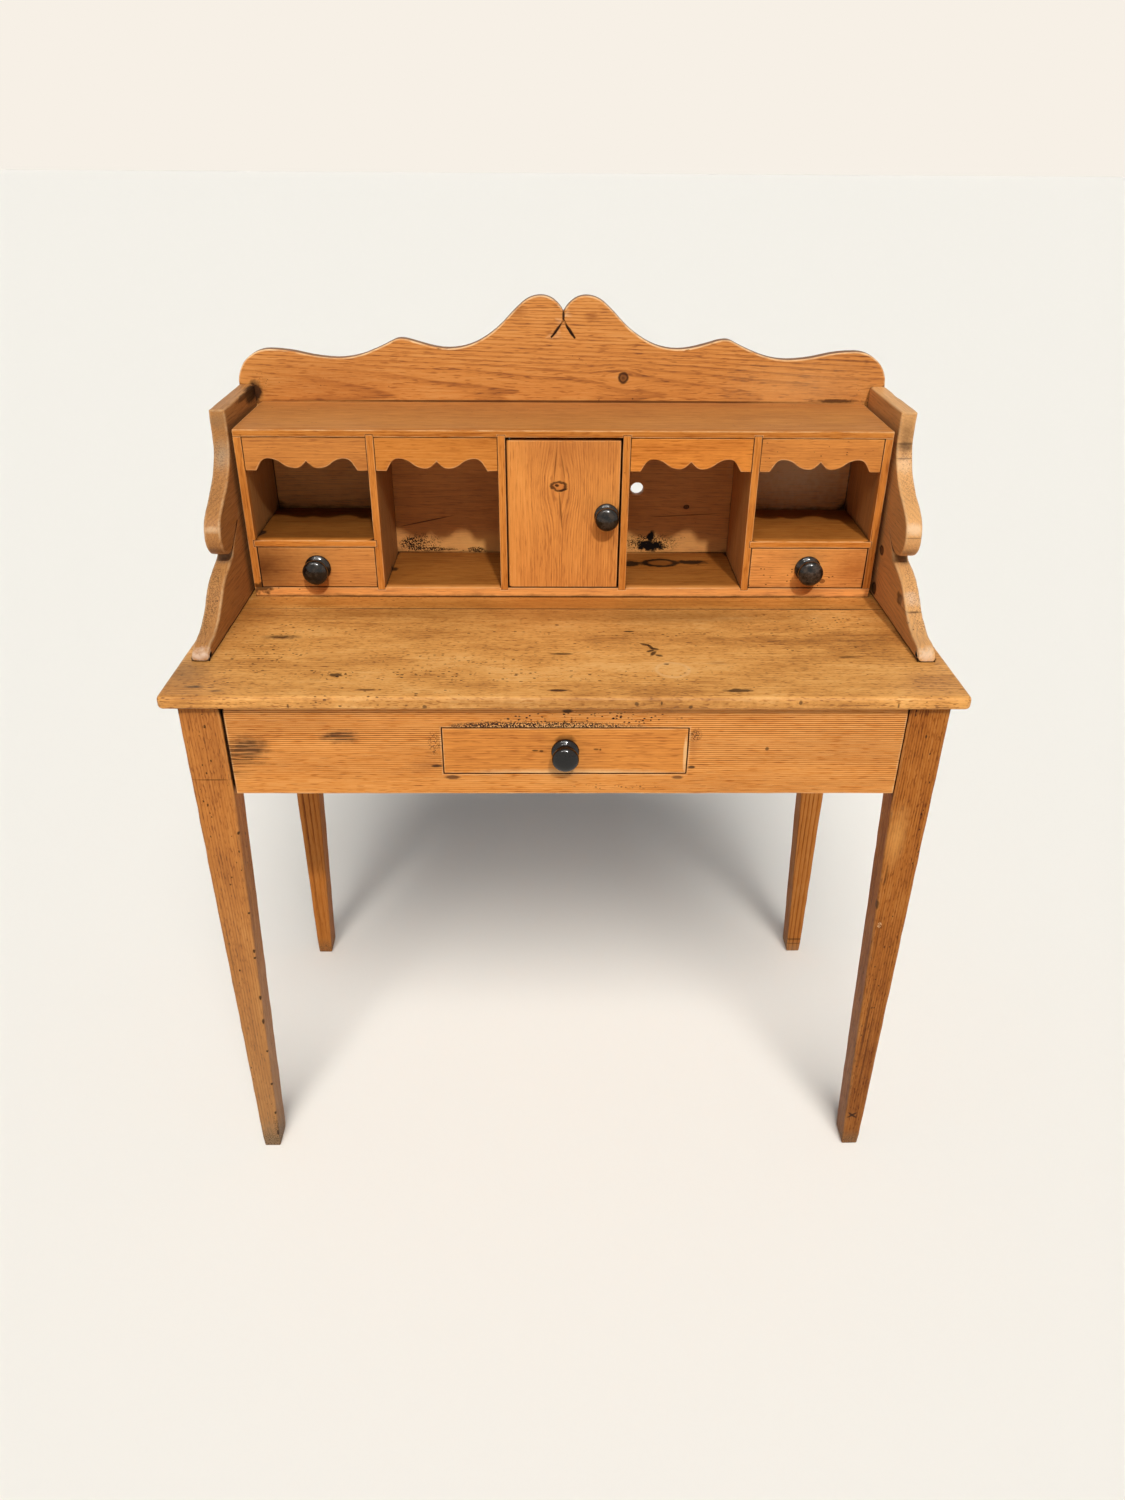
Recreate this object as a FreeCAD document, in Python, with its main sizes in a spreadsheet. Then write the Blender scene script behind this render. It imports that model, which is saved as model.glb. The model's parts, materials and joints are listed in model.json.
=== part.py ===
import FreeCAD, Part
import math
import os
import re
import Sketcher
from FreeCAD import Placement, Rotation, Vector

# Antique pine writing desk: four tapered legs and aprons carry a two-board top with one drawer,
# and a gallery on the top holds a nest of pigeonholes, two small drawers and a cupboard door.
# X runs across the desk, the user sits at -Y, Z is up, the floor is Z = 0.

doc = FreeCAD.newDocument("WritingDesk")
sheet = doc.addObject("Spreadsheet::Sheet", "Sizes")

# Driving sizes in millimetres: name, value, meaning.
sizes = [
    ("top_width", 920, "writing top, end to end"),
    ("top_height", 758, "floor to writing surface"),
    ("top_thickness", 16, "boards of the writing top"),
    ("front_board_width", 255, "front board of the top, front edge to back edge"),
    ("front_overhang", 12, "top past the front legs"),
    ("side_overhang", 18, "top past the legs at each end"),
    ("rear_overhang", 2, "top past the back legs"),
    ("top_corner", 8, "plan rounding of the top's corners"),
    ("nosing_upper", 6, "rounding of the top's upper edge"),
    ("nosing_lower", 4, "rounding of the top's lower edge"),
    ("frame_depth", 468, "front legs' front to back legs' back"),
    ("leg_width", 48, "leg at the apron, across the desk"),
    ("leg_depth", 38, "leg, front to back"),
    ("foot_width", 24, "leg at the floor, across the desk"),
    ("apron_height", 120, "apron boards"),
    ("apron_thickness", 22, "apron boards"),
    ("front_setback", 1, "front and back aprons behind the legs' faces"),
    ("side_setback", 4, "side aprons behind the legs' outer faces"),
    ("shoulder_gap", 3, "open shoulder at the left end of the front apron"),
    ("tenon_length", 24, "front and back apron tenons"),
    ("side_tenon_length", 16, "side apron tenons"),
    ("tenon_thickness", 8, "apron tenons"),
    ("tenon_shoulder", 12, "apron edge to tenon edge"),
    ("joint_gap", 0.2, "room round a tenon in its mortise"),
    ("opening_width", 286.8, "main drawer opening in the front apron"),
    ("opening_height", 62, "main drawer opening in the front apron"),
    ("opening_rise", 28, "apron's lower edge to the drawer opening"),
    ("drawer_gap", 0.8, "room round a drawer front"),
    ("running_gap", 0.3, "drawer side above its runner"),
    ("runner_height", 20, "main drawer runner"),
    ("runner_lip", 16, "runner under the drawer side"),
    ("guide_width", 16, "guide beside the drawer side"),
    ("guide_height", 36, "guide above the runner"),
    ("stop_length", 20, "stop at the back of the runner"),
    ("stop_height", 15, "stop above the runner"),
    ("kicker_width", 20, "rail above the drawer side"),
    ("glue_strip", 18, "glue strip under the top, square section"),
    ("glue_strip_length", 240, "glue strip along a side apron"),
    ("main_back_gap", 59, "main drawer short of the back apron"),
    ("main_front", 18, "main drawer front thickness"),
    ("main_side", 10, "main drawer side and back thickness"),
    ("main_bottom", 6, "main drawer bottom thickness"),
    ("small_front", 12, "small drawer front thickness"),
    ("small_side", 7, "small drawer side and back thickness"),
    ("small_bottom", 4, "small drawer bottom thickness"),
    ("small_back_gap", 1, "small drawer short of the nest's back"),
    ("bottom_rise", 5, "drawer's lower edge to its bottom board"),
    ("groove_depth", 3, "groove for a drawer bottom"),
    ("groove_end_gap", 0.3, "drawer bottom short of its groove"),
    ("back_drop", 5, "drawer back below the sides' top edge"),
    ("gallery_inset", 15.5, "gallery sides inside the top's ends"),
    ("gallery_rear_inset", 8, "crest's back in front of the top's back edge"),
    ("side_thickness", 21, "gallery sides"),
    ("side_height", 246, "gallery sides above the top"),
    ("side_top_depth", 155, "gallery side along its top edge"),
    ("side_nose_depth", 249, "back edge to the upper lobe's nose"),
    ("side_nose_height", 111, "top to the middle of the upper lobe"),
    ("side_slit_depth", 199, "back edge to the tip of the beak-shaped slit"),
    ("side_slit_height", 90, "top to the tip of the slit"),
    ("side_foot_depth", 366, "gallery side along its foot"),
    ("side_shoulder", 26, "straight front edge below the gallery side's top"),
    ("crest_thickness", 16, "crest board"),
    ("crest_drop", 74, "crest's lower edge below the gallery sides' top"),
    ("crest_rise", 114, "twin lobes above the gallery sides' top"),
    ("crest_notch", 20, "notch between the twin lobes"),
    ("crest_lobe_x", 30, "centre to each twin lobe"),
    ("crest_slope_x", 75, "centre to the middle of the long slope"),
    ("crest_slope_rise", 86, "middle of the long slope"),
    ("crest_hollow_x", 155, "centre to the inner hollow"),
    ("crest_hollow_rise", 47, "inner hollow"),
    ("crest_point_x", 217, "centre to the soft point"),
    ("crest_point_rise", 57, "shoulders of the soft point"),
    ("crest_point_half", 12, "middle of the soft point to its shoulders"),
    ("crest_outer_x", 306, "centre to the outer hollow"),
    ("crest_outer_rise", 34, "outer hollow"),
    ("crest_end_x", 398, "centre to the end lobe"),
    ("crest_end_rise", 45, "end lobe"),
    ("nest_gap", 6.5, "nest of pigeonholes short of each gallery side"),
    ("nest_depth", 161, "crest's face to the nest's front edge"),
    ("back_inset", 22, "crest's face to the nest back's face"),
    ("back_thickness", 12, "nest back board"),
    ("base_thickness", 13, "nest base board"),
    ("shelf_thickness", 9, "nest top shelf"),
    ("end_thickness", 10, "nest end boards"),
    ("nest_opening", 201, "height inside the nest"),
    ("partition_thickness", 9.5, "upright partitions"),
    ("housing", 3, "groove that a partition or shelf end stands in"),
    ("half_shelf_rise", 57, "base to the underside of a half shelf"),
    ("half_shelf_thickness", 9, "half shelves over the small drawers"),
    ("nest_recess", 1, "fronts behind the nest's front edge"),
    ("valance_thickness", 9, "scalloped valances"),
    ("valance_depth", 43, "valance ends below the shelf"),
    ("valance_cusp", 31, "middle point below the shelf"),
    ("valance_dip", 40, "dips beside the middle point, below the shelf"),
    ("valance_arch", 27.5, "arches below the shelf"),
    ("valance_dip_x", 14.5, "middle to a dip"),
    ("valance_arch_x", 48.5, "middle to an arch"),
    ("valance_flat", 14, "straight end of a valance"),
    ("cable_hole", 18, "hole bored through the nest back, diameter"),
    ("cable_hole_x", 106, "centre of the hole across the desk"),
    ("cable_hole_rise", 95, "base to the hole's centre"),
    ("door_opening", 149.7, "width between the middle partitions"),
    ("door_thickness", 14, "cupboard door"),
    ("door_hinge_gap", 1, "door to partition on the hinge side"),
    ("door_latch_gap", 2.4, "door to partition on the knob side"),
    ("door_foot_gap", 0.8, "door above the base"),
    ("door_head_gap", 3.5, "door below the shelf"),
    ("pivot_inset", 4.5, "pivot pin inside the door's edge and face"),
    ("pin_diameter", 3, "pivot pins"),
    ("pin_clearance", 0.05, "pivot hole around its pin, on the radius"),
    ("pin_in_door", 15, "pivot pin inside the door"),
    ("pin_in_board", 6, "pivot pin inside the base and the shelf"),
    ("pin_end_gap", 1, "pivot hole past the pin's end"),
    ("door_stop_size", 8, "stop strip behind the door, square section"),
    ("door_stop_length", 60, "stop strip height"),
    ("door_stop_gap", 0.3, "closed door in front of its stop"),
    ("door_knob_inset", 16.5, "door's free edge to its knob's centre"),
    ("door_knob_rise", 101, "base to the door knob's centre"),
    ("main_knob_diameter", 32, "main drawer knob"),
    ("small_knob_diameter", 36, "small drawer knobs"),
    ("door_knob_diameter", 33, "door knob"),
    ("main_knob_length", 27, "main drawer knob, face to crown"),
    ("small_knob_length", 28, "small drawer knobs, face to crown"),
    ("door_knob_length", 26, "door knob, face to crown"),
    ("knob_flange", 5, "thickness of a knob's foot flange"),
    ("knob_flange_set", 1.5, "flange narrower than the head, on the radius"),
    ("knob_neck_set", 5, "neck narrower than the head, on the radius"),
    ("knob_neck", 9, "face to the middle of the neck"),
    ("knob_crown", 9, "height of the head's dome"),
    ("shank_diameter", 10, "knob's shank in the wood"),
    ("shank_clearance", 0.05, "hole around the shank, on the radius"),
]

# Places and lengths that follow from the driving sizes.
places = {
    "top_underside": "top_height - top_thickness",
    "leg_outer": "top_width / 2 - side_overhang",
    "leg_inner": "leg_outer - leg_width",
    "knob_reach": "main_knob_length - front_setback",
    "front_y": "(knob_reach - frame_depth - rear_overhang) / 2",
    "rear_y": "front_y + frame_depth",
    "front_leg_back": "front_y + leg_depth",
    "back_leg_y": "rear_y - leg_depth",
    "apron_z": "top_underside - apron_height",
    "front_apron_y": "front_y + front_setback",
    "front_apron_back": "front_apron_y + apron_thickness",
    "back_apron_y": "rear_y - front_setback - apron_thickness",
    "side_apron_outer": "leg_outer - side_setback",
    "side_apron_inner": "side_apron_outer - apron_thickness",
    "tenon_inset": "(apron_thickness - tenon_thickness) / 2",
    "tenon_height": "apron_height - 2 * tenon_shoulder",
    "tenon_z": "apron_z + tenon_shoulder",
    "top_joint_y": "front_y - front_overhang + front_board_width",
    "opening_half": "opening_width / 2",
    "opening_z": "apron_z + opening_rise",
    "opening_top": "opening_z + opening_height",
    "runner_length": "back_apron_y - front_apron_back",
    "runner_top": "opening_z + drawer_gap - running_gap",
    "main_depth": "back_apron_y - front_apron_y - main_back_gap",
    "main_width": "opening_width - 2 * drawer_gap",
    "main_height": "opening_height - 2 * drawer_gap",
    "gallery_half": "top_width / 2 - gallery_inset",
    "crest_y": "rear_y + rear_overhang - gallery_rear_inset - crest_thickness",
    "gallery_top": "top_height + side_height",
    "nest_half": "gallery_half - side_thickness - nest_gap",
    "end_inner": "nest_half - end_thickness",
    "nest_y": "crest_y - nest_depth",
    "nest_back_y": "crest_y - back_inset",
    "box_depth": "nest_depth - back_inset",
    "base_top": "top_height + base_thickness",
    "shelf_z": "base_top + nest_opening",
    "cell_width": "(2 * end_inner - door_opening - 4 * partition_thickness) / 4",
    "door_jamb": "door_opening / 2",
    "inner_cell_start": "door_jamb + partition_thickness",
    "inner_cell_end": "inner_cell_start + cell_width",
    "outer_cell_start": "inner_cell_end + partition_thickness",
    "half_shelf_z": "base_top + half_shelf_rise",
    "fronts_y": "nest_y + nest_recess",
    "small_width": "cell_width - 2 * drawer_gap",
    "small_height": "half_shelf_rise - drawer_gap - running_gap",
    "small_depth": "box_depth - nest_recess - small_back_gap",
    "door_x": "door_hinge_gap - door_jamb",
    "door_width": "door_opening - door_hinge_gap - door_latch_gap",
    "door_z": "base_top + door_foot_gap",
    "door_height": "nest_opening - door_foot_gap - door_head_gap",
    "pivot_x": "door_x + pivot_inset",
    "pivot_y": "fronts_y + pivot_inset",
    "door_knob_x": "door_x + door_width - door_knob_inset",
    "door_knob_z": "base_top + door_knob_rise",
}

for row, (alias, value, meaning) in enumerate(sizes, start=1):
    sheet.set(f"A{row}", meaning)
    sheet.set(f"B{row}", str(value))
    sheet.setAlias(f"B{row}", alias)
doc.recompute()
aliases = {alias for alias, value, meaning in sizes}
nodes = []


def expand(text):
    """Write a formula of plain names as one over the sheet's cells."""
    def swap(match):
        word = match.group(0)
        if word in places:
            return "(" + expand(places[word]) + ")"
        return "Sizes." + word if word in aliases else word
    return re.sub(r"[A-Za-z_]\w*", swap, text)


def number(text):
    """Value of a formula, for shapes that are drawn edge by edge."""
    return float(sheet.evalExpression(expand(text)))


def bind(obj, prop, text):
    obj.setExpression(prop, expand(text))


def put(obj, x, y, z):
    bind(obj, "Placement.Base.x", x)
    bind(obj, "Placement.Base.y", y)
    bind(obj, "Placement.Base.z", z)


def piece(obj, label):
    """Mark an object as a finished piece of the desk."""
    obj.Label = label
    nodes.append(obj)
    return obj


def box(name, x, y, z, length, width, height):
    """Board between its least corner and its length (X), width (Y) and height (Z)."""
    obj = doc.addObject("Part::Box", name)
    bind(obj, "Length", length)
    bind(obj, "Width", width)
    bind(obj, "Height", height)
    put(obj, x, y, z)
    return obj


def rod(name, x, y, z, radius, length, turn=Rotation()):
    """Round bar or hole from a point along Z, or along the axis that turn gives."""
    obj = doc.addObject("Part::Cylinder", name)
    bind(obj, "Radius", radius)
    bind(obj, "Height", length)
    obj.Placement = Placement(Vector(), turn)
    put(obj, x, y, z)
    return obj


def join(name, parts):
    obj = doc.addObject("Part::MultiFuse", name)
    obj.Shapes = parts
    obj.Refine = True
    return obj


def carve(name, base, tools):
    obj = doc.addObject("Part::Cut", name)
    obj.Base = base
    obj.Tool = tools[0] if len(tools) == 1 else join(name + "_cutters", tools)
    return obj


def span(side, near, far):
    """Least X and length of a stretch between two distances from the desk's middle."""
    start = f"-({far})" if side == "left" else near
    return start, f"({far}) - ({near})"


def sketch_on(body, plane, name):
    sketch = body.newObject("Sketcher::SketchObject", name)
    origin_plane = [item for item in body.Origin.OriginFeatures if item.Role == plane][0]
    sketch.AttachmentSupport = [(origin_plane, "")]
    sketch.MapMode = "FlatFace"
    return sketch


def arc_between(start, end, radius, left_hand):
    """Arc of the given radius, bulging to the left or right of the way from start to end."""
    chord = end.sub(start)
    half = chord.Length / 2
    reach = math.sqrt(max(radius * radius - half * half, 0))
    normal = Vector(chord.y, -chord.x, 0).normalize()
    side = 1 if left_hand else -1
    centre = start.add(chord * 0.5).add(normal * (side * reach))
    first, last = (end, start) if left_hand else (start, end)
    angles = [math.atan2(p.y - centre.y, p.x - centre.x) for p in (first, last)]
    if angles[1] < angles[0]:
        angles[1] += 2 * math.pi
    circle = Part.Circle(centre, Vector(0, 0, 1), radius)
    return Part.ArcOfCircle(circle, angles[0], angles[1])


def outline(sketch, points, arcs=None):
    """Closed outline whose corners, and radii where a side is an arc, are bound to formulas."""
    arcs = arcs or {}
    places_now = [Vector(number(x), number(y), 0) for x, y in points]
    ends = []
    for index, start in enumerate(places_now):
        end = places_now[(index + 1) % len(points)]
        if index in arcs:
            radius, left_hand = arcs[index]
            geo = sketch.addGeometry(arc_between(start, end, number(radius), left_hand), False)
            ends.append((geo, 2, 1) if left_hand else (geo, 1, 2))
        else:
            geo = sketch.addGeometry(Part.LineSegment(start, end), False)
            ends.append((geo, 1, 2))
    for index, (geo, begin, finish) in enumerate(ends):
        following = ends[(index + 1) % len(ends)]
        sketch.addConstraint(Sketcher.Constraint("Coincident", geo, finish, following[0], following[1]))
    for index, (geo, begin, finish) in enumerate(ends):
        for kind, text, value in (("DistanceX", points[index][0], places_now[index].x),
                                  ("DistanceY", points[index][1], places_now[index].y)):
            mark = sketch.addConstraint(Sketcher.Constraint(kind, -1, 1, geo, begin, value))
            bind(sketch, f"Constraints[{mark}]", text)
        if index in arcs:
            value = number(arcs[index][0])
            mark = sketch.addConstraint(Sketcher.Constraint("Radius", geo, value))
            bind(sketch, f"Constraints[{mark}]", arcs[index][0])
    return sketch


def padded(name, plane, points, length, arcs=None, back=False):
    """Body of one outline, made thick along the plane's normal or back from it."""
    body = doc.addObject("PartDesign::Body", name)
    sketch = outline(sketch_on(body, plane, name + "_outline"), points, arcs)
    pad = body.newObject("PartDesign::Pad", name + "_pad")
    pad.Profile = sketch
    bind(pad, "Length", length)
    pad.Reversed = back
    sketch.Visibility = False
    return body, pad


def bend(start, start_angle, end, end_angle):
    """Two arcs that leave start and reach end at the given headings, smoothly joined."""
    heading = [Vector(math.cos(math.radians(a)), math.sin(math.radians(a)), 0)
               for a in (start_angle, end_angle)]
    way = end.sub(start)
    along = way.dot(heading[0].add(heading[1]))
    spread = 2 * (1 - heading[0].dot(heading[1]))
    if spread < 1e-9:
        reach = way.dot(way) / (2 * along)
    else:
        reach = (-along + math.sqrt(along * along + spread * way.dot(way))) / spread
    middle = start.add(heading[0] * reach).add(end.sub(heading[1] * reach)) * 0.5
    return [arc_from(start, heading[0], middle), arc_from(end, heading[1] * -1, middle)]


def arc_from(start, heading, end):
    chord = end.sub(start)
    turn = heading.getAngle(chord)
    if turn < 1e-6:
        return Part.LineSegment(start, end).toShape()
    side = heading.sub(chord * (heading.dot(chord) / chord.dot(chord))).normalize()
    middle = start.add(chord * 0.5).add(side * (chord.Length / 2 * math.tan(turn / 2)))
    return Part.Arc(start, middle, end).toShape()


def sawn_path(knots):
    """Edges through knots (x, y, heading in, heading out), straight where a heading is None."""
    edges = []
    for (x0, y0, come0, go0), (x1, y1, come1, go1) in zip(knots, knots[1:]):
        start = Vector(x0, y0, 0)
        end = Vector(x1, y1, 0)
        if go0 is None or come1 is None:
            edges.append(Part.LineSegment(start, end).toShape())
        else:
            edges.extend(bend(start, go0, end, come1))
    return edges


def mirrored(half):
    """Knots of a symmetric edge from the half on the +X side, listed from the middle outwards."""
    left = [(-x, y, None if go is None else -go, None if come is None else -come)
            for x, y, come, go in reversed(half)]
    middle = left[-1]
    return left[:-1] + [(middle[0], middle[1], middle[2], half[0][3])] + half[1:]


def sawn_board(label, edges, thickness, placement):
    """Board cut to a drawn outline; the outline is in the board's own XY plane."""
    face = Part.Face(Part.Wire(Part.__sortEdges__(edges)))
    obj = doc.addObject("Part::Feature", label)
    obj.Shape = face.extrude(Vector(0, 0, thickness))
    obj.Placement = placement
    return piece(obj, label)


# An outline drawn in XY stands up facing the user: its X stays, its Y becomes Z, its depth runs to -Y.
upright = Rotation(Vector(1, 0, 0), Vector(0, 0, 1), Vector(0, -1, 0), "XYZ")
# Across the desk: the outline's X becomes Y, its Y becomes Z and its depth runs to +X.
crosswise = Rotation(Vector(0, 1, 0), Vector(0, 0, 1), Vector(1, 0, 0), "XYZ")
into_wood = Rotation(Vector(1, 0, 0), -90)


def make_legs():
    profile = [("0", "0"), ("foot_width", "0"), ("leg_width", "apron_z"),
               ("leg_width", "top_underside"), ("0", "top_underside")]
    for side in ("left", "right"):
        for row, leg_y, apron_y in (("front", "front_y", "front_apron_y"),
                                    ("back", "back_leg_y", "back_apron_y")):
            label = f"leg_{row}_{side}"
            body, pad = padded(label + "_blank", "XZ_Plane", profile, "leg_depth", back=True)
            if side == "right":
                body.Placement = Placement(Vector(), Rotation(Vector(0, 0, 1), 180))
                put(body, "leg_outer", f"{leg_y} + leg_depth", "0")
            else:
                put(body, "-leg_outer", leg_y, "0")
            x, length = span(side, "leg_inner", "leg_inner + tenon_length + joint_gap")
            cross = box(label + "_cross_mortise", x, f"{apron_y} + tenon_inset - joint_gap",
                        "tenon_z - joint_gap", length, "tenon_thickness + 2 * joint_gap",
                        "tenon_height + 2 * joint_gap")
            x, length = span(side, "side_apron_inner + tenon_inset - joint_gap",
                             "side_apron_outer - tenon_inset + joint_gap")
            start = "front_leg_back - side_tenon_length - joint_gap" if row == "front" else "back_leg_y"
            deep = box(label + "_side_mortise", x, start, "tenon_z - joint_gap", length,
                       "side_tenon_length + joint_gap", "tenon_height + 2 * joint_gap")
            piece(carve(label, body, [cross, deep]), label)


def make_aprons():
    tenon = ("tenon_thickness", "tenon_height")
    board = box("apron_front_board", "shoulder_gap - leg_inner", "front_apron_y", "apron_z",
                "2 * leg_inner - shoulder_gap", "apron_thickness", "apron_height")
    tongue = box("apron_front_tenons", "-leg_inner - tenon_length", "front_apron_y + tenon_inset",
                 "tenon_z", "2 * (leg_inner + tenon_length)", *tenon)
    opening = box("apron_front_opening", "-opening_half", "front_apron_y", "opening_z",
                  "opening_width", "apron_thickness", "opening_height")
    whole = join("apron_front_whole", [board, tongue])
    piece(carve("apron_front", whole, [opening]), "apron_front")
    board = box("apron_back_board", "-leg_inner", "back_apron_y", "apron_z",
                "2 * leg_inner", "apron_thickness", "apron_height")
    tongue = box("apron_back_tenons", "-leg_inner - tenon_length", "back_apron_y + tenon_inset",
                 "tenon_z", "2 * (leg_inner + tenon_length)", *tenon)
    piece(join("apron_back", [board, tongue]), "apron_back")
    for side in ("left", "right"):
        label = f"apron_{side}"
        x, length = span(side, "side_apron_inner", "side_apron_outer")
        board = box(label + "_board", x, "front_leg_back", "apron_z", length,
                    "back_leg_y - front_leg_back", "apron_height")
        x, length = span(side, "side_apron_inner + tenon_inset", "side_apron_outer - tenon_inset")
        tongue = box(label + "_tenons", x, "front_leg_back - side_tenon_length", "tenon_z", length,
                     "back_leg_y - front_leg_back + 2 * side_tenon_length", "tenon_height")
        piece(join(label, [board, tongue]), label)
        x, length = span(side, "side_apron_inner - glue_strip", "side_apron_inner")
        middle = "(front_leg_back + back_leg_y - glue_strip_length) / 2"
        piece(box(f"glue_strip_{side}", x, middle, "top_underside - glue_strip", length,
                  "glue_strip_length", "glue_strip"), f"glue_strip_{side}")


def make_top():
    half = "top_width / 2"
    front = "front_y - front_overhang"
    rear = "rear_y + rear_overhang"
    front_points = [(f"-{half}", "top_joint_y"), (f"-{half}", f"{front} + top_corner"),
                    (f"top_corner - {half}", front), (f"{half} - top_corner", front),
                    (half, f"{front} + top_corner"), (half, "top_joint_y")]
    back_points = [(half, "top_joint_y"), (half, f"{rear} - top_corner"),
                   (f"{half} - top_corner", rear), (f"top_corner - {half}", rear),
                   (f"-{half}", f"{rear} - top_corner"), (f"-{half}", "top_joint_y")]
    corners = {1: ("top_corner", False), 3: ("top_corner", False)}
    for label, points in (("top_front_board", front_points), ("top_back_board", back_points)):
        body, pad = padded(label, "XY_Plane", points, "top_thickness", corners)
        doc.recompute()
        feature = pad
        for level, radius in (("top_thickness", "nosing_upper"), ("0", "nosing_lower")):
            rim = []
            for index, edge in enumerate(feature.Shape.Edges, start=1):
                limits = edge.BoundBox
                flat = abs(limits.ZMin - number(level)) + abs(limits.ZMax - number(level)) < 1e-6
                joint = abs(limits.YMin - number("top_joint_y")) + limits.YLength < 1e-6
                if flat and not joint:
                    rim.append(f"Edge{index}")
            fillet = body.newObject("PartDesign::Fillet", f"{label}_{radius}")
            fillet.Base = (feature, rim)
            bind(fillet, "Radius", f"min({radius}; top_thickness * 0.45; top_corner * 0.9)")
            doc.recompute()
            feature = fillet
        put(body, "0", "0", "top_underside")
        piece(body, label)


def make_runners():
    for side in ("left", "right"):
        label = f"drawer_runner_{side}"
        x, length = span(side, "opening_half - runner_lip", "opening_half + guide_width")
        rail = box(label + "_rail", x, "front_apron_back", "runner_top - runner_height", length,
                   "runner_length", "runner_height")
        x, length = span(side, "opening_half", "opening_half + guide_width")
        guide = box(label + "_guide", x, "front_apron_back", "runner_top", length,
                    "runner_length", "guide_height")
        x, length = span(side, "opening_half - runner_lip", "opening_half")
        stop = box(label + "_stop", x, "front_apron_y + main_depth + running_gap", "runner_top",
                   length, "stop_length", "stop_height")
        piece(join(label, [rail, guide, stop]), label)
        x, length = span(side, "opening_half - kicker_width", "opening_half")
        piece(box(f"drawer_kicker_{side}", x, "front_apron_back", "opening_top", length,
                  "runner_length", "top_underside - opening_top"), f"drawer_kicker_{side}")


def make_knob(label, diameter, length, shank, x, y, z):
    """Turned knob: shank, foot flange, neck and domed head, its axis towards the user."""
    head = f"{diameter} / 2"
    flange = f"({head} - knob_flange_set)"
    rim = f"({length} - knob_crown)"
    points = [("0", shank), ("shank_diameter / 2", shank), ("shank_diameter / 2", "0"),
              (flange, "0"), (flange, "-knob_flange"), (f"{head} - knob_neck_set", "-knob_neck"),
              (head, f"-{rim}"), ("0", f"-({length})")]
    dome = f"(({head})^2 + knob_crown^2) / (2 * knob_crown)"
    arcs = {3: ("knob_flange * 0.6", True), 5: (f"{rim} - knob_neck", True), 6: (dome, True)}
    body = doc.addObject("PartDesign::Body", label)
    sketch = outline(sketch_on(body, "XY_Plane", label + "_profile"), points, arcs)
    turned = body.newObject("PartDesign::Revolution", label + "_turned")
    turned.Profile = sketch
    turned.ReferenceAxis = (sketch, ["V_Axis"])
    turned.Angle = 360
    sketch.Visibility = False
    put(body, x, y, z)
    piece(body, label)


def make_drawer(label, x, y, z, width, height, depth, kind, knob):
    """Drawer box with a lapped front, a bottom in grooves and a turned knob."""
    front, wall, floor = f"{kind}_front", f"{kind}_side", f"{kind}_bottom"
    lap = f"({front} / 2)"
    groove_z = f"{z} + bottom_rise"
    board = box(f"{label}_front_board", x, y, z, width, front, height)
    cutters = []
    for side, lap_x in (("left", x), ("right", f"{x} + {width} - {wall}")):
        cutters.append(box(f"{label}_{side}_lap", lap_x, f"{y} + {lap}", z, wall, lap, height))
        wall_board = box(f"{label}_{side}_board", lap_x, f"{y} + {lap}", z, wall,
                         f"{depth} - {lap}", height)
        groove_x = f"{x} + {wall} - groove_depth" if side == "left" else lap_x
        groove = box(f"{label}_{side}_groove", groove_x, f"{y} + {lap}", groove_z, "groove_depth",
                     f"{depth} - {lap}", floor)
        piece(carve(f"{label}_side_{side}", wall_board, [groove]), f"{label}_side_{side}")
    cutters.append(box(f"{label}_front_groove", f"{x} + {wall} - groove_depth",
                       f"{y} + {front} - groove_depth", groove_z,
                       f"{width} - 2 * {wall} + 2 * groove_depth", "groove_depth", floor))
    knob_x = f"{x} + {width} / 2"
    knob_z = f"{z} + {height} / 2"
    cutters.append(rod(f"{label}_knob_hole", knob_x, y, knob_z,
                       "shank_diameter / 2 + shank_clearance", front, into_wood))
    piece(carve(f"{label}_front", board, cutters), f"{label}_front")
    piece(box(f"{label}_back", f"{x} + {wall}", f"{y} + {depth} - {wall}", f"{groove_z} + {floor}",
              f"{width} - 2 * {wall}", wall, f"{height} - bottom_rise - {floor} - back_drop"),
          f"{label}_back")
    inset = f"({wall} - groove_depth + groove_end_gap)"
    piece(box(f"{label}_bottom", f"{x} + {inset}", f"{y} + {front} - groove_depth + groove_end_gap",
              groove_z, f"{width} - 2 * {inset}",
              f"{depth} - {front} + groove_depth - groove_end_gap", floor), f"{label}_bottom")
    make_knob(f"{label}_knob", f"{knob}_diameter", f"{knob}_length", front, knob_x, y, knob_z)


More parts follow.
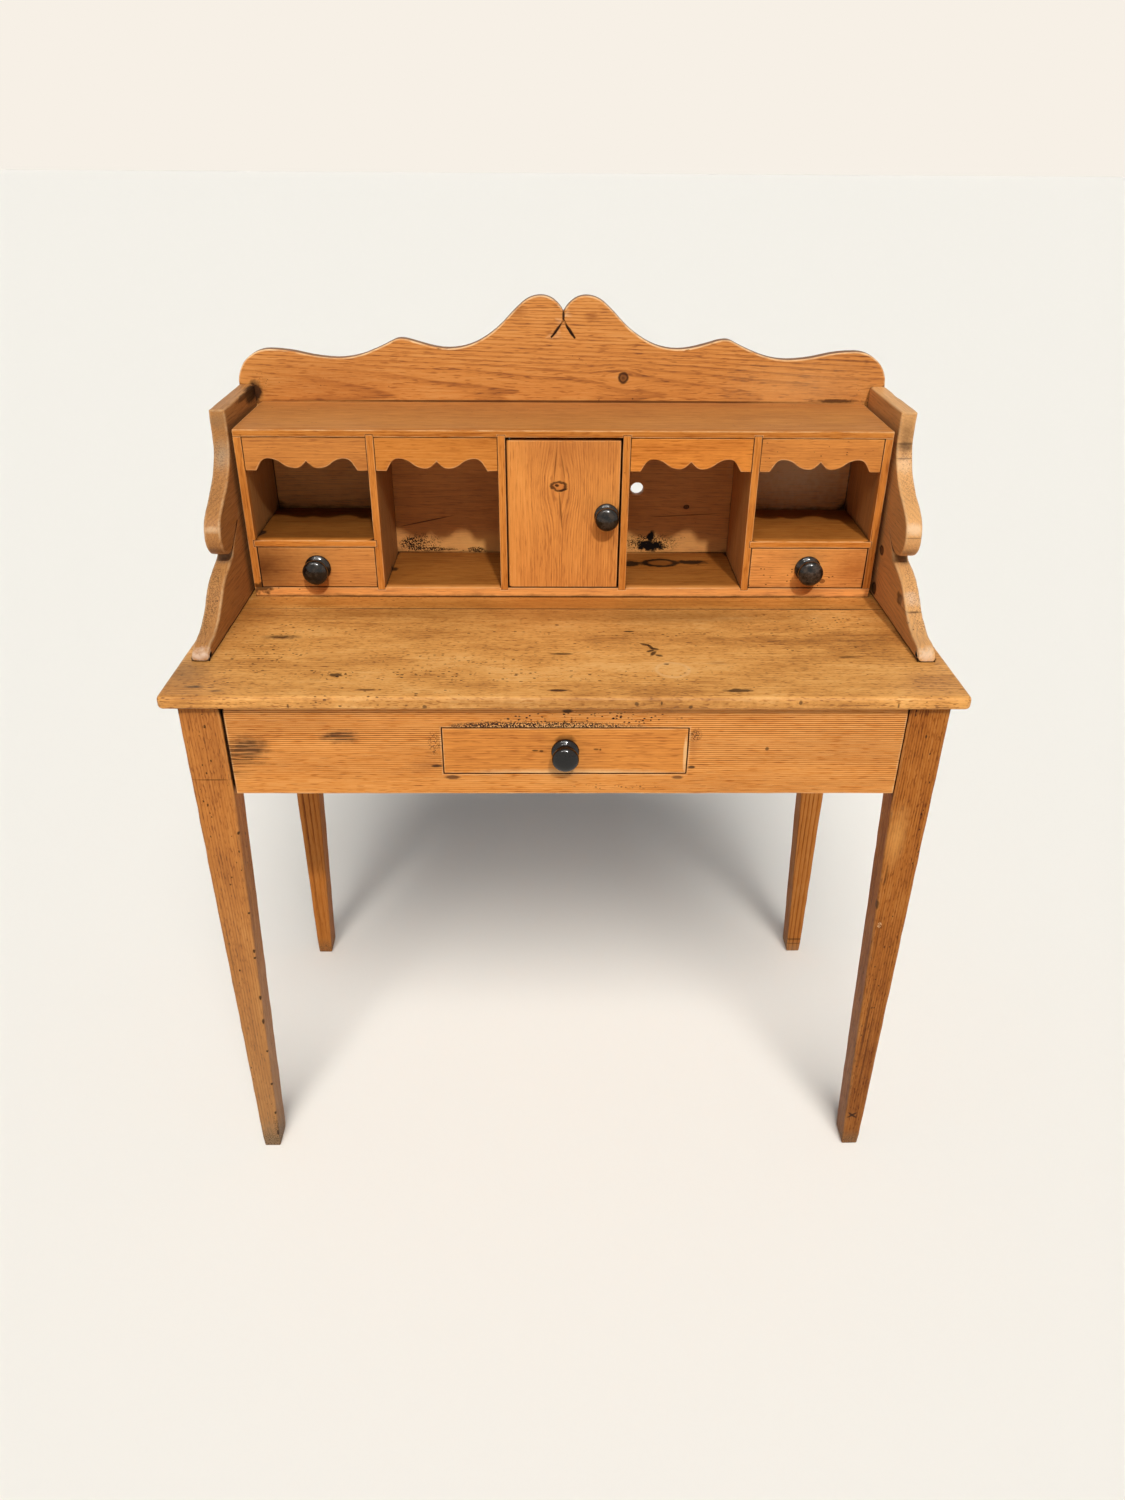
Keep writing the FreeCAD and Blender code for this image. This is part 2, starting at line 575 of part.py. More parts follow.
def make_gallery_sides():
    top_depth = number("side_top_depth")
    nose = (number("side_nose_depth"), number("side_nose_height"))
    slit = (number("side_slit_depth"), number("side_slit_height"))
    foot = number("side_foot_depth")
    height = number("side_height")
    shoulder = height - number("side_shoulder")
    # Points between the sized ones, as shares of the stretch that they lie in.
    hollow = (top_depth + 0.56 * (nose[0] - top_depth), nose[1] + 0.376 * (shoulder - nose[1]))
    throat = (slit[0] + 0.46 * (nose[0] - slit[0]), 0.922 * slit[1])
    toe = [(slit[0] + share * (foot - slit[0]), rise * slit[1], heading) for share, rise, heading in
           ((0.114, 0.822, -165), (0.461, 0.556, -140), (0.749, 0.233, -162), (0.976, 0.111, -140))]
    knots = [
        (0, 0, None, None),
        (0, height, None, None),
        (-top_depth, height, None, None),
        (-top_depth, shoulder, None, -90),
        (-hollow[0], hollow[1], -155, -155),
        (-nose[0], nose[1], -90, -90),
        (-throat[0], throat[1], -5, -5),
        (-slit[0], slit[1], 35, -145),
        *((-depth, rise, heading, heading) for depth, rise, heading in toe),
        (-foot, 0, -90, None),
        (0, 0, None, None),
    ]
    for side in ("left", "right"):
        x, length = span(side, "gallery_half - side_thickness", "gallery_half")
        place = Vector(number(x), number("crest_y"), number("top_height"))
        sawn_board(f"gallery_side_{side}", sawn_path(knots), number(length), Placement(place, crosswise))


def make_crest():
    half = number("gallery_half")
    drop = -number("crest_drop")
    point_x = number("crest_point_x")
    point_half = number("crest_point_half")
    point = number("crest_point_rise")
    right = [
        (0, number("crest_rise") - number("crest_notch"), -62, 62),
        (number("crest_lobe_x"), number("crest_rise"), 0, 0),
        (number("crest_slope_x"), number("crest_slope_rise"), -47, -47),
        (number("crest_hollow_x"), number("crest_hollow_rise"), 0, 0),
        (point_x - point_half, point, 17, 17),
        (point_x + point_half, point, -27, -27),
        (number("crest_outer_x"), number("crest_outer_rise"), 0, 0),
        (number("crest_end_x"), number("crest_end_rise"), 0, 0),
        (half, 0, -90, None),
        (half, drop, None, None),
    ]
    knots = mirrored(right)
    knots.append(knots[0])
    thickness = number("crest_thickness")
    place = Vector(0, number("crest_y") + thickness, number("gallery_top"))
    sawn_board("crest", sawn_path(knots), thickness, Placement(place, upright))


def make_nest():
    shelf = box("nest_shelf_board", "-nest_half", "nest_y", "shelf_z", "2 * nest_half", "nest_depth",
                "shelf_thickness")
    base = box("nest_base_board", "-nest_half", "nest_y", "top_height", "2 * nest_half",
               "box_depth + back_thickness", "base_thickness")
    shelf_cuts = []
    base_cuts = []
    for side in ("left", "right"):
        rows = (("inner", "door_jamb", "inner_cell_start"), ("outer", "inner_cell_end", "outer_cell_start"))
        for row, near, far in rows:
            label = f"partition_{row}_{side}"
            x, length = span(side, near, far)
            board = box(label + "_board", x, "nest_y", "base_top - housing", length, "box_depth",
                        "nest_opening + 2 * housing")
            for cuts, name, z in ((shelf_cuts, "shelf", "shelf_z"), (base_cuts, "base", "base_top - housing")):
                cuts.append(box(f"{label}_{name}_groove", x, "nest_y", z, length, "box_depth", "housing"))
            if row == "inner":
                piece(board, label)
            else:
                x, length = span(side, "outer_cell_start - housing", "outer_cell_start")
                groove = box(label + "_shelf_housing", x, "nest_y", "half_shelf_z", length, "box_depth",
                             "half_shelf_thickness")
                piece(carve(label, board, [groove]), label)
        label = f"nest_end_{side}"
        x, length = span(side, "end_inner", "nest_half")
        board = box(label + "_board", x, "nest_y", "base_top", length, "box_depth + back_thickness",
                    "nest_opening")
        x, length = span(side, "end_inner", "end_inner + housing")
        groove = box(label + "_shelf_housing", x, "nest_y", "half_shelf_z", length, "box_depth",
                     "half_shelf_thickness")
        piece(carve(label, board, [groove]), label)
        x, length = span(side, "outer_cell_start - housing", "end_inner + housing")
        piece(box(f"half_shelf_{side}", x, "nest_y", "half_shelf_z", length, "box_depth",
                  "half_shelf_thickness"), f"half_shelf_{side}")
    pin_hole = "pin_diameter / 2 + pin_clearance"
    hole_depth = "pin_in_board + pin_end_gap"
    shelf_cuts.append(rod("shelf_pin_hole", "pivot_x", "pivot_y", "shelf_z", pin_hole, hole_depth))
    base_cuts.append(rod("base_pin_hole", "pivot_x", "pivot_y", f"base_top - ({hole_depth})", pin_hole,
                         hole_depth))
    piece(carve("nest_shelf", shelf, shelf_cuts), "nest_shelf")
    piece(carve("nest_base", base, base_cuts), "nest_base")
    back = box("nest_back_board", "-end_inner", "nest_back_y", "base_top", "2 * end_inner",
               "back_thickness", "nest_opening")
    hole = rod("nest_back_hole", "cable_hole_x", "nest_back_y", "base_top + cable_hole_rise",
               "cable_hole / 2", "back_thickness", into_wood)
    piece(carve("nest_back", back, [hole]), "nest_back")


def make_valances():
    half = number("cell_width") / 2
    flat = half - number("valance_flat")
    ends = -number("valance_depth")
    thickness = number("valance_thickness")
    right = [
        (0, -number("valance_cusp"), 48, -48),
        (number("valance_dip_x"), -number("valance_dip"), 0, 0),
        (number("valance_arch_x"), -number("valance_arch"), 0, 0),
        (flat, ends, -62, None),
        (half, ends, None, None),
        (half, 0, None, None),
    ]
    knots = mirrored(right)
    knots.append(knots[0])
    for side, sign in (("left", -1), ("right", 1)):
        for row, start in (("inner", "inner_cell_start"), ("outer", "outer_cell_start")):
            place = Vector(sign * (number(start) + half), number("fronts_y") + thickness, number("shelf_z"))
            sawn_board(f"valance_{row}_{side}", sawn_path(knots), thickness, Placement(place, upright))


def make_door():
    points = [("0", "pivot_inset"), ("pivot_inset", "0"), ("door_width", "0"),
              ("door_width", "door_thickness"), ("0", "door_thickness")]
    body, pad = padded("door_board", "XY_Plane", points, "door_height", {0: ("pivot_inset", False)})
    put(body, "door_x", "fronts_y", "door_z")
    door_top = "door_z + door_height"
    hole = "pin_diameter / 2"
    cuts = [
        rod("door_lower_hole", "pivot_x", "pivot_y", "door_z", hole, "pin_in_door"),
        rod("door_upper_hole", "pivot_x", "pivot_y", f"{door_top} - pin_in_door", hole, "pin_in_door"),
        rod("door_knob_hole", "door_knob_x", "fronts_y", "door_knob_z",
            "shank_diameter / 2 + shank_clearance", "door_thickness", into_wood),
    ]
    piece(carve("door", body, cuts), "door")
    piece(rod("door_pin_lower", "pivot_x", "pivot_y", "base_top - pin_in_board", hole,
              "pin_in_board + door_foot_gap + pin_in_door"), "door_pin_lower")
    piece(rod("door_pin_upper", "pivot_x", "pivot_y", f"{door_top} - pin_in_door", hole,
              "pin_in_door + door_head_gap + pin_in_board"), "door_pin_upper")
    make_knob("door_knob", "door_knob_diameter", "door_knob_length", "door_thickness",
              "door_knob_x", "fronts_y", "door_knob_z")
    piece(box("door_stop", "door_jamb - door_stop_size", "fronts_y + door_thickness + door_stop_gap",
              "base_top + (nest_opening - door_stop_length) / 2", "door_stop_size", "door_stop_size",
              "door_stop_length"), "door_stop")


make_legs()
make_aprons()
make_top()
make_runners()
make_drawer("main_drawer", "drawer_gap - opening_half", "front_apron_y", "opening_z + drawer_gap",
            "main_width", "main_height", "main_depth", "main", "main_knob")
make_gallery_sides()
make_crest()
make_nest()
make_valances()
make_door()
for side, start in (("left", "drawer_gap - end_inner"), ("right", "outer_cell_start + drawer_gap")):
    make_drawer(f"{side}_drawer", start, "fronts_y", "base_top + running_gap", "small_width",
                "small_height", "small_depth", "small", "small_knob")

doc.recompute()
for obj in doc.Objects:
    if {"Invalid", "Error"} & set(obj.State):
        raise RuntimeError(f"{obj.Label} did not compute: {obj.State}")
for obj in nodes:
    if obj.Shape.isNull() or not obj.Shape.isValid():
        raise RuntimeError(f"{obj.Label} has no valid shape")
    if len(obj.Shape.Solids) != 1:
        raise RuntimeError(f"{obj.Label} is {len(obj.Shape.Solids)} solids")

os.makedirs("parts", exist_ok=True)
for obj in nodes:
    obj.Shape.exportStep(f"parts/{obj.Label}.step")
print(len(nodes), "pieces written")
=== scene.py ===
import json
import math
from functools import partial

import bmesh
import bpy
from mathutils import Matrix, Vector, noise
from mathutils.bvhtree import BVHTree


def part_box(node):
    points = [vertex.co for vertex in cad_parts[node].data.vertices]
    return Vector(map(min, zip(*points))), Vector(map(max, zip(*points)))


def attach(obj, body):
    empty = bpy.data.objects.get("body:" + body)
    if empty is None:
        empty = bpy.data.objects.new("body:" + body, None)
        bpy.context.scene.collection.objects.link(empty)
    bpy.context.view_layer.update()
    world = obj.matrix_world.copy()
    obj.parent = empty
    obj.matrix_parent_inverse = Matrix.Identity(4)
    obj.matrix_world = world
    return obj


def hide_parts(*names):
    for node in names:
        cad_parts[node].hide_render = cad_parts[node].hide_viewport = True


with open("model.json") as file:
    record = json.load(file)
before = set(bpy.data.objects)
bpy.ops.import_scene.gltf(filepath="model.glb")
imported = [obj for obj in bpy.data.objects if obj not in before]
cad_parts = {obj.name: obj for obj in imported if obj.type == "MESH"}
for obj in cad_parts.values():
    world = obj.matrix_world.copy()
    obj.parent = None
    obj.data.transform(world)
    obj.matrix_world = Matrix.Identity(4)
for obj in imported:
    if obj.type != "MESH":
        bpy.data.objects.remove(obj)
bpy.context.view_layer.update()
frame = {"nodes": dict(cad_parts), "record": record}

scene = bpy.context.scene
scene.view_settings.view_transform = "Standard"
mm = 0.001
pieces = []
bodyOf = {node: body for body, nodes in frame["record"]["behaviour"]["bodies"].items() for node in nodes}

# A colour mix node keeps its colour sockets after the ones for numbers and vectors.
# A map range node's sockets are 0 the value, 1 and 2 its old ends, 3 and 4 its new ends.
mixFactor, mixFirst, mixSecond, mixResult = 0, 6, 7, 2


def linear(hexColour):
    # sRGB hex to linear RGBA
    parts = [int(hexColour[i:i + 2], 16) / 255 for i in (1, 3, 5)]
    return tuple(c / 12.92 if c <= 0.04045 else ((c + 0.055) / 1.055) ** 2.4 for c in parts) + (1.0,)


def addNode(tree, kind, sockets=None, out=0, **settings):
    # one node with its settings; a socket given as another node's output is linked;
    # gives back the named output, or the node itself where out is None
    made = tree.nodes.new("ShaderNode" + kind)
    for key, value in settings.items():
        setattr(made, key, value)
    for key, value in (sockets or {}).items():
        if isinstance(value, bpy.types.NodeSocket):
            tree.links.new(value, made.inputs[key])
        else:
            made.inputs[key].default_value = value
    return made if out is None else made.outputs[out]


def newMaterial(name):
    # an empty material, and addNode for its own tree
    material = bpy.data.materials.new(name)
    material.use_nodes = True
    material.node_tree.nodes.clear()
    return material, partial(addNode, material.node_tree)


def finishMaterial(add, colour, roughness, height, bumpMm, sheen):
    bump = add("Bump", {"Height": height, "Distance": bumpMm * mm, "Strength": 0.8})
    shader = add("BsdfPrincipled", {"Base Color": colour, "Roughness": roughness, "IOR": 1.5,
                                    "Specular IOR Level": sheen, "Normal": bump})
    add("OutputMaterial", {"Surface": shader}, None)


# along, then the two ways across the grain
grainTurn = {"X": (0, 1, 2), "Y": (1, 0, 2), "Z": (2, 0, 1)}
plainMark = {"amount": 0.85, "soft": 0.4, "ragged": 0.5, "turn": (0, 0, 0)}
plainKnot = {"amount": 0.8, "ragged": 0.35, "rim": 0.8, "eye": 0.5}
knotSwell = 0.9  # how far a knot pushes the fibres apart


def spot(x, y, z, wide, deep, high, **own):
    # a mark's middle and half sizes in mm, and what sets it apart from a plain dark stain:
    # its hue, amount, soft or ragged rim, turn in degrees, dent, or what markMask breaks it up with
    return {"at": (x, y, z), "size": (wide, deep, high), **plainMark, **own}


patch = partial(spot, soft=0.8)
smudge = partial(spot, soft=0.9)
inkBlot = partial(spot, hue="#0c0605", amount=1.0)


def spotDistance(add, place, ragged, mark):
    # 0 at a mark's middle, 1 at its rim, with the rim made uneven
    fitted = add("Mapping", {"Vector": place, "Location": [v * mm for v in mark["at"]],
                             "Rotation": [math.radians(a) for a in mark["turn"]],
                             "Scale": [v * mm for v in mark["size"]]}, vector_type="TEXTURE")
    uneven = add("VectorMath", {0: ragged, 1: (mark["ragged"],) * 3, 2: fitted}, operation="MULTIPLY_ADD")
    return add("VectorMath", {0: uneven}, "Value", operation="LENGTH")


def partGrain(add, place, ragged, grain, knots, grainWay):
    # fibres part round a knot and close again behind it
    order = grainTurn[grainWay]
    for knot in knots:
        far = spotDistance(add, place, ragged, spot(*knot["at"], *knot["size"], ragged=0.2))
        squared = add("Math", {0: far, 1: 2.0}, operation="POWER")
        falling = add("Math", {0: squared, 1: -1.0}, operation="MULTIPLY")
        swell = add("Math", {0: falling}, operation="EXPONENT")
        push = add("Math", {0: swell, 1: -knotSwell}, operation="MULTIPLY")
        offset = add("VectorMath", {0: place, 1: [v * mm for v in knot["at"]]}, operation="SUBTRACT")
        parts = add("SeparateXYZ", {0: offset}, None).outputs
        across = add("CombineXYZ", {1: parts[order[1]], 2: parts[order[2]]})
        grain = add("VectorMath", {0: across, 1: push, 2: grain}, operation="MULTIPLY_ADD")
    return grain


def growthRings(add, grain, drawn, look):
    # late wood as dark rings round the pith, bent a little along the grain and clearer in some places
    sway = add("TexNoise", {"Vector": drawn, "Scale": 1 / (look["swayMm"] * mm), "Detail": 3.0}, "Color")
    reach = look["warpMm"] * mm
    shifted = add("VectorMath", {0: sway, 1: (0, 2 * reach, 2 * reach), 2: (0, -reach, -reach)},
                  operation="MULTIPLY_ADD")
    bent = add("VectorMath", {0: grain, 1: (0, 1, 1), 2: shifted}, operation="MULTIPLY_ADD")
    radius = add("VectorMath", {0: bent}, "Value", operation="LENGTH")
    phase = add("Math", {0: radius, 1: 1 / (look["ringMm"] * mm)}, operation="MULTIPLY")
    ring = add("Math", {0: phase}, operation="FRACT")
    lateWood = add("MapRange", {0: ring, 1: 0.5, 2: 0.88, 3: 0.0, 4: 1.0})
    ringEnd = add("MapRange", {0: ring, 1: 0.93, 2: 1.0, 3: 1.0, 4: 0.0})
    ringLine = add("Math", {0: lateWood, 1: ringEnd}, operation="MULTIPLY")
    clear = add("TexNoise", {"Vector": drawn, "Scale": 1 / (60 * mm), "Detail": 2.0}, "Fac")
    clearness = add("MapRange", {0: clear, 1: 0.35, 2: 0.65, 3: 0.3 * look["rings"], 4: look["rings"]})
    return ringLine, add("Math", {0: ringLine, 1: clearness}, operation="MULTIPLY")


def woodColour(add, grain, drawn, lines, look):
    # one shade value, 0 dark to 1 pale, from rings, fibres, long streaks and mottling;
    # single fibres are too fine to show, so they are drawn about 1.7 mm wide
    fibreScale = 1 / (1.7 * mm)
    combed = add("VectorMath", {0: grain, 1: (0.03, 1, 1)}, operation="MULTIPLY")
    clouded = add("VectorMath", {0: grain, 1: (0.45, 1, 1)}, operation="MULTIPLY")
    fibre = add("TexNoise", {"Vector": combed, "Scale": fibreScale, "Detail": 2.0, "Roughness": 0.6}, "Fac")
    streak = add("TexNoise", {"Vector": combed, "Scale": 1 / (12 * mm), "Detail": 2.0}, "Fac")
    mottle = add("TexNoise", {"Vector": clouded, "Scale": 1 / (look["mottleMm"] * mm), "Detail": 7.0,
                              "Roughness": 0.7}, "Fac")
    broad = add("TexNoise", {"Vector": drawn, "Scale": 1 / (look["patchMm"] * mm), "Detail": 3.0}, "Fac")
    shade = add("Math", {0: lines, 1: -1.0, 2: 0.5 + 0.3 * look["rings"]}, operation="MULTIPLY_ADD")
    for layer, amount in ((fibre, "fibre"), (streak, "streak"), (mottle, "mottle"), (broad, "patches")):
        centred = add("Math", {0: layer, 1: 0.5}, operation="SUBTRACT")
        shade = add("Math", {0: centred, 1: look[amount], 2: shade}, operation="MULTIPLY_ADD")
    # short dark pores and torn fibres
    dashed = add("VectorMath", {0: grain, 1: (look["strokeDraw"], 1, 1)}, operation="MULTIPLY")
    torn = add("TexNoise", {"Vector": dashed, "Scale": fibreScale, "Detail": 1.0}, "Fac")
    stroke = add("MapRange", {0: torn, 1: 0.56, 2: 0.72, 3: 0.0, 4: look["strokes"]})
    shade = add("Math", {0: shade, 1: stroke}, operation="SUBTRACT")
    shades = add("ValToRGB", {"Fac": shade}, None)
    first, last = shades.color_ramp.elements
    first.color, last.color = linear(look["deep"]), linear(look["pale"])
    shades.color_ramp.elements.new(0.3).color = linear(look["late"])
    shades.color_ramp.elements.new(0.58).color = linear(look["early"])
    return shades.outputs[0], fibre


def darkPits(add, grain, place, drawn, look):
    # small dark pits of uneven size, gathered in places
    pitGrid = add("VectorMath", {0: grain, 1: (look["pitDraw"], 1, 1)}, operation="MULTIPLY")
    speckle = add("TexNoise", {"Vector": place, "Scale": 1 / (1.5 * mm), "Detail": 1.0}, None).outputs
    fray = (0.35 * look["pitMm"] * mm,) * 3
    pitGrid = add("VectorMath", {0: speckle["Color"], 1: fray, 2: pitGrid}, operation="MULTIPLY_ADD")
    cells = add("TexVoronoi", {"Vector": pitGrid, "Scale": 1 / (look["pitMm"] * mm)}, None).outputs
    dice = add("SeparateXYZ", {0: cells["Color"]}, None).outputs
    pitEdge = add("MapRange", {0: dice[1], 1: 0.0, 2: 1.0, 3: 0.35 * look["pitWide"], 4: look["pitWide"]})
    pitDepth = add("Math", {0: pitEdge, 1: cells["Distance"]}, operation="SUBTRACT")
    pit = add("MapRange", {0: pitDepth, 1: 0.0, 2: 0.1, 3: 0.0, 4: 1.0})
    crowd = add("TexNoise", {"Vector": drawn, "Scale": 1 / (35 * mm), "Detail": 2.0}, "Fac")
    gathered = add("Math", {0: crowd, 1: 1.2, 2: dice[0]}, operation="MULTIPLY_ADD")
    rare = 1.6 - look["pits"]
    picked = add("MapRange", {0: gathered, 1: rare, 2: rare + 0.03, 3: 0.0, 4: 0.8})
    fleck = add("Math", {0: picked, 1: pit}, operation="MULTIPLY")
    return fleck, {"chance": dice[0], "pit": pit, "speckle": speckle["Fac"]}


def knotLayers(add, place, ragged, knots, dirt):
    # a knot's core with a dark rim and a dark eye
    layers = []
    for own in knots:
        knot = {**plainKnot, **own}
        far = spotDistance(add, place, ragged, spot(*knot["at"], *knot["core"], ragged=knot["ragged"]))
        inner = add("MapRange", {0: far, 1: 1.0, 2: 0.8, 3: 0.0, 4: knot["amount"]})
        offRim = add("Math", {0: far, 1: 0.9}, operation="SUBTRACT")
        nearRim = add("Math", {0: offRim}, operation="ABSOLUTE")
        rim = add("MapRange", {0: nearRim, 1: 0.32, 2: 0.12, 3: 0.0, 4: knot["rim"]})
        eye = add("MapRange", {0: far, 1: 0.45, 2: 0.15, 3: 0.0, 4: knot["eye"]})
        dark = add("Math", {0: rim, 1: eye}, operation="MAXIMUM")
        layers += [(inner, knot["heart"]), (dark, dirt)]
    return layers


def markMask(add, place, ragged, mark, grit):
    # how much of a mark covers each point: all of it, a ring, or only its pits, specks or fibres
    far = spotDistance(add, place, ragged, mark)
    mask = add("MapRange", {0: far, 1: 1.0, 2: 1.0 - mark["soft"], 3: 0.0, 4: mark["amount"]})
    ways = {"hollow": (far, -0.15, 1.0, 0.0), "pitted": (grit["chance"], 0.02, 0.0, 1.0),
            "speckled": (grit["speckle"], 0.06, 0.0, 1.0), "streaked": (grit["fibre"], 0.08, 1.0, 0.0)}
    for way, (pattern, edge, before, after) in ways.items():
        if way in mark:
            some = add("MapRange", {0: pattern, 1: mark[way], 2: mark[way] + edge, 3: before, 4: after})
            mask = add("Math", {0: mask, 1: some}, operation="MULTIPLY")
    if "pitted" in mark:
        mask = add("Math", {0: mask, 1: grit["pit"]}, operation="MULTIPLY")
    return mask


# Old pine, planed by hand and waxed for many years: pale early wood and narrow redder late wood in
# every growth ring, fibre streaks along the grain, wax that has darkened in patches, paler rubbed edges.
# On the crest the pale worn edge is also a painted highlight, and the dirt in corners and joints is partly
# painted shade.
def pineMaterial(group):
    look = {**basePine, **group["look"]}
    knots = group.get("knots", [])
    material, add = newMaterial(group["pine"])
    grain = add("Attribute", None, "Vector", attribute_name="grainPoint")
    wear, tone, greyed, closed = (add("Attribute", None, "Fac", attribute_name=layer)
                                  for layer in ("wear", "tone", "greyed", "closedIn"))
    place = add("TexCoord", None, "Object")
    noisy = add("TexNoise", {"Vector": place, "Scale": 1 / (7 * mm), "Detail": 3.0}, "Color")
    ragged = add("VectorMath", {0: noisy, 1: (0.5,) * 3}, operation="SUBTRACT")
    grain = partGrain(add, place, ragged, grain, knots, group["grain"])
    drawn = add("VectorMath", {0: grain, 1: (0.1, 1, 1)}, operation="MULTIPLY")
    ringLine, lines = growthRings(add, grain, drawn, look)
    wood, fibre = woodColour(add, grain, drawn, lines, look)
    toned = add("VectorMath", {0: wood, "Scale": tone}, operation="SCALE")
    dust = add("VectorMath", {0: linear(look["dust"])[:3], "Scale": tone}, operation="SCALE")
    colour = add("Mix", {mixFactor: greyed, mixFirst: toned, mixSecond: dust}, mixResult, data_type="RGBA")
    fleck, grit = darkPits(add, grain, place, drawn, look)
    grit["fibre"] = fibre
    layers = [(fleck, look["dirt"])] + knotLayers(add, place, ragged, knots, look["dirt"])

    # edges worn pale by hands and cloths, where they can reach; on the crest this pale edge is also a painted
    # highlight
    scuffed = add("VectorMath", {0: grain, 1: (0.25, 1, 1)}, operation="MULTIPLY")
    scuff = add("TexNoise", {"Vector": scuffed, "Scale": 1 / (8 * mm), "Detail": 6.0, "Roughness": 0.7},
                "Fac")
    rubAndHighlightMask = add("MapRange", {0: scuff, 1: 0.36, 2: 0.64, 3: 0.0, 4: look["rubAndHighlightAmount"]})
    exposed = add("MapRange", {0: closed, 1: 0.02, 2: 0.12, 3: 1.0, 4: 0.0})
    outer = add("Math", {0: wear, 1: exposed}, operation="MULTIPLY")
    rubbedAndHighlit = add("Math", {0: rubAndHighlightMask, 1: outer}, operation="MULTIPLY")

    # dirt and painted shade in corners and joints, darker the more closed in the wood is
    uneven = add("Math", {0: scuff, 1: 0.4, 2: closed}, operation="MULTIPLY_ADD")
    cornerDirtAndShade = add("MapRange", {0: uneven, 1: 0.4, 2: 0.62, 3: 0.0, 4: look["grimeAndShade"]})
    jointed = add("MapRange", {0: closed, 1: 0.08, 2: 0.24, 3: 0.0, 4: look["grimeAndShade"]})
    jointDirtAndShade = add("Math", {0: jointed, 1: wear}, operation="MULTIPLY")
    grimeAndShade = add("Math", {0: cornerDirtAndShade, 1: jointDirtAndShade}, operation="MAXIMUM")
    layers += [(rubbedAndHighlit, look["rubbedAndHighlit"]), (grimeAndShade, look["grimeAndShadeHue"])]

    # stains, gouges and smudges at their own places
    height = add("Math", {0: fleck, 1: -0.6, 2: fibre}, operation="MULTIPLY_ADD")
    height = add("Math", {0: ringLine, 1: 0.15, 2: height}, operation="MULTIPLY_ADD")
    for mark in group.get("marks", []):
        mask = markMask(add, place, ragged, mark, grit)
        layers.append((mask, mark.get("hue", look["dirt"])))
        if "dent" in mark:
            height = add("Math", {0: mask, 1: -mark["dent"], 2: height}, operation="MULTIPLY_ADD")
    for mask, hue in layers:
        colour = add("Mix", {mixFactor: mask, mixFirst: colour, mixSecond: linear(hue)}, mixResult,
                     data_type="RGBA")
    dull, bright = look["roughness"] + 0.1, look["roughness"] - 0.06
    polish = add("MapRange", {0: fibre, 1: 0.3, 2: 0.7, 3: dull, 4: bright})
    roughness = add("Math", {0: polish, 1: grimeAndShade}, operation="MAXIMUM")
    finishMaterial(add, colour, roughness, height, look["bumpMm"], look["sheen"])
    return material


def flatRegions(faces):
    # faces joined across soft edges, as one surface each
    left = {f.index: f for f in faces}
    regions = []
    for start in faces:
        if start.index not in left:
            continue
        region, waiting = [], [left.pop(start.index)]
        while waiting:
            face = waiting.pop()
            region.append(face)
            for edge in face.edges:
                for near in edge.link_faces:
                    if near.index in left:
                        waiting.append(left.pop(near.index))
        regions.append(region)
    return regions


def wideFaces(bm, rounded):
    # every surface broad enough to have a worn band along its rim
    leastWidth = 4 * mm
    bm.faces.index_update()
    skip = {f.index for f in rounded}
    wide = []
    for region in flatRegions([f for f in bm.faces if f.index not in skip]):
        inside = {f.index for f in region}
        edges = [e for f in region for e in f.edges if any(n.index not in inside for n in e.link_faces)]
        rim = sum(e.calc_length() for e in edges)
        if rim and 2 * sum(f.calc_area() for f in region) / rim > leastWidth:
            wide += region
    return wide


def cutAcross(bm, node, pitch):
    # plain cuts across a board every pitch or so, to carry its wear
    lo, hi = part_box(node)
    for axis in range(3):
        length = hi[axis] - lo[axis]
        cuts = int(length / pitch)
        for cut in range(1, cuts):
            at, facing = Vector(), Vector()
            at[axis] = lo[axis] + length * cut / cuts
            facing[axis] = 1
            bmesh.ops.bisect_plane(bm, geom=bm.verts[:] + bm.edges[:] + bm.faces[:], dist=0.001 * mm,
                                   plane_co=at, plane_no=facing)


def roundFoot(bm, floorZ, work):
    # feet rounded off by years of being dragged
    under = [v.co for v in bm.verts if v.co.z < floorZ + 0.1 * mm]
    middle = sum(under, Vector()) / len(under)
    for vert in bm.verts:
        share = max(0.0, 1 - (vert.co.z - floorZ) / (work["footHigh"] * mm)) ** 2
        vert.co.xy += (middle.xy - vert.co.xy) * work["footWear"] * share


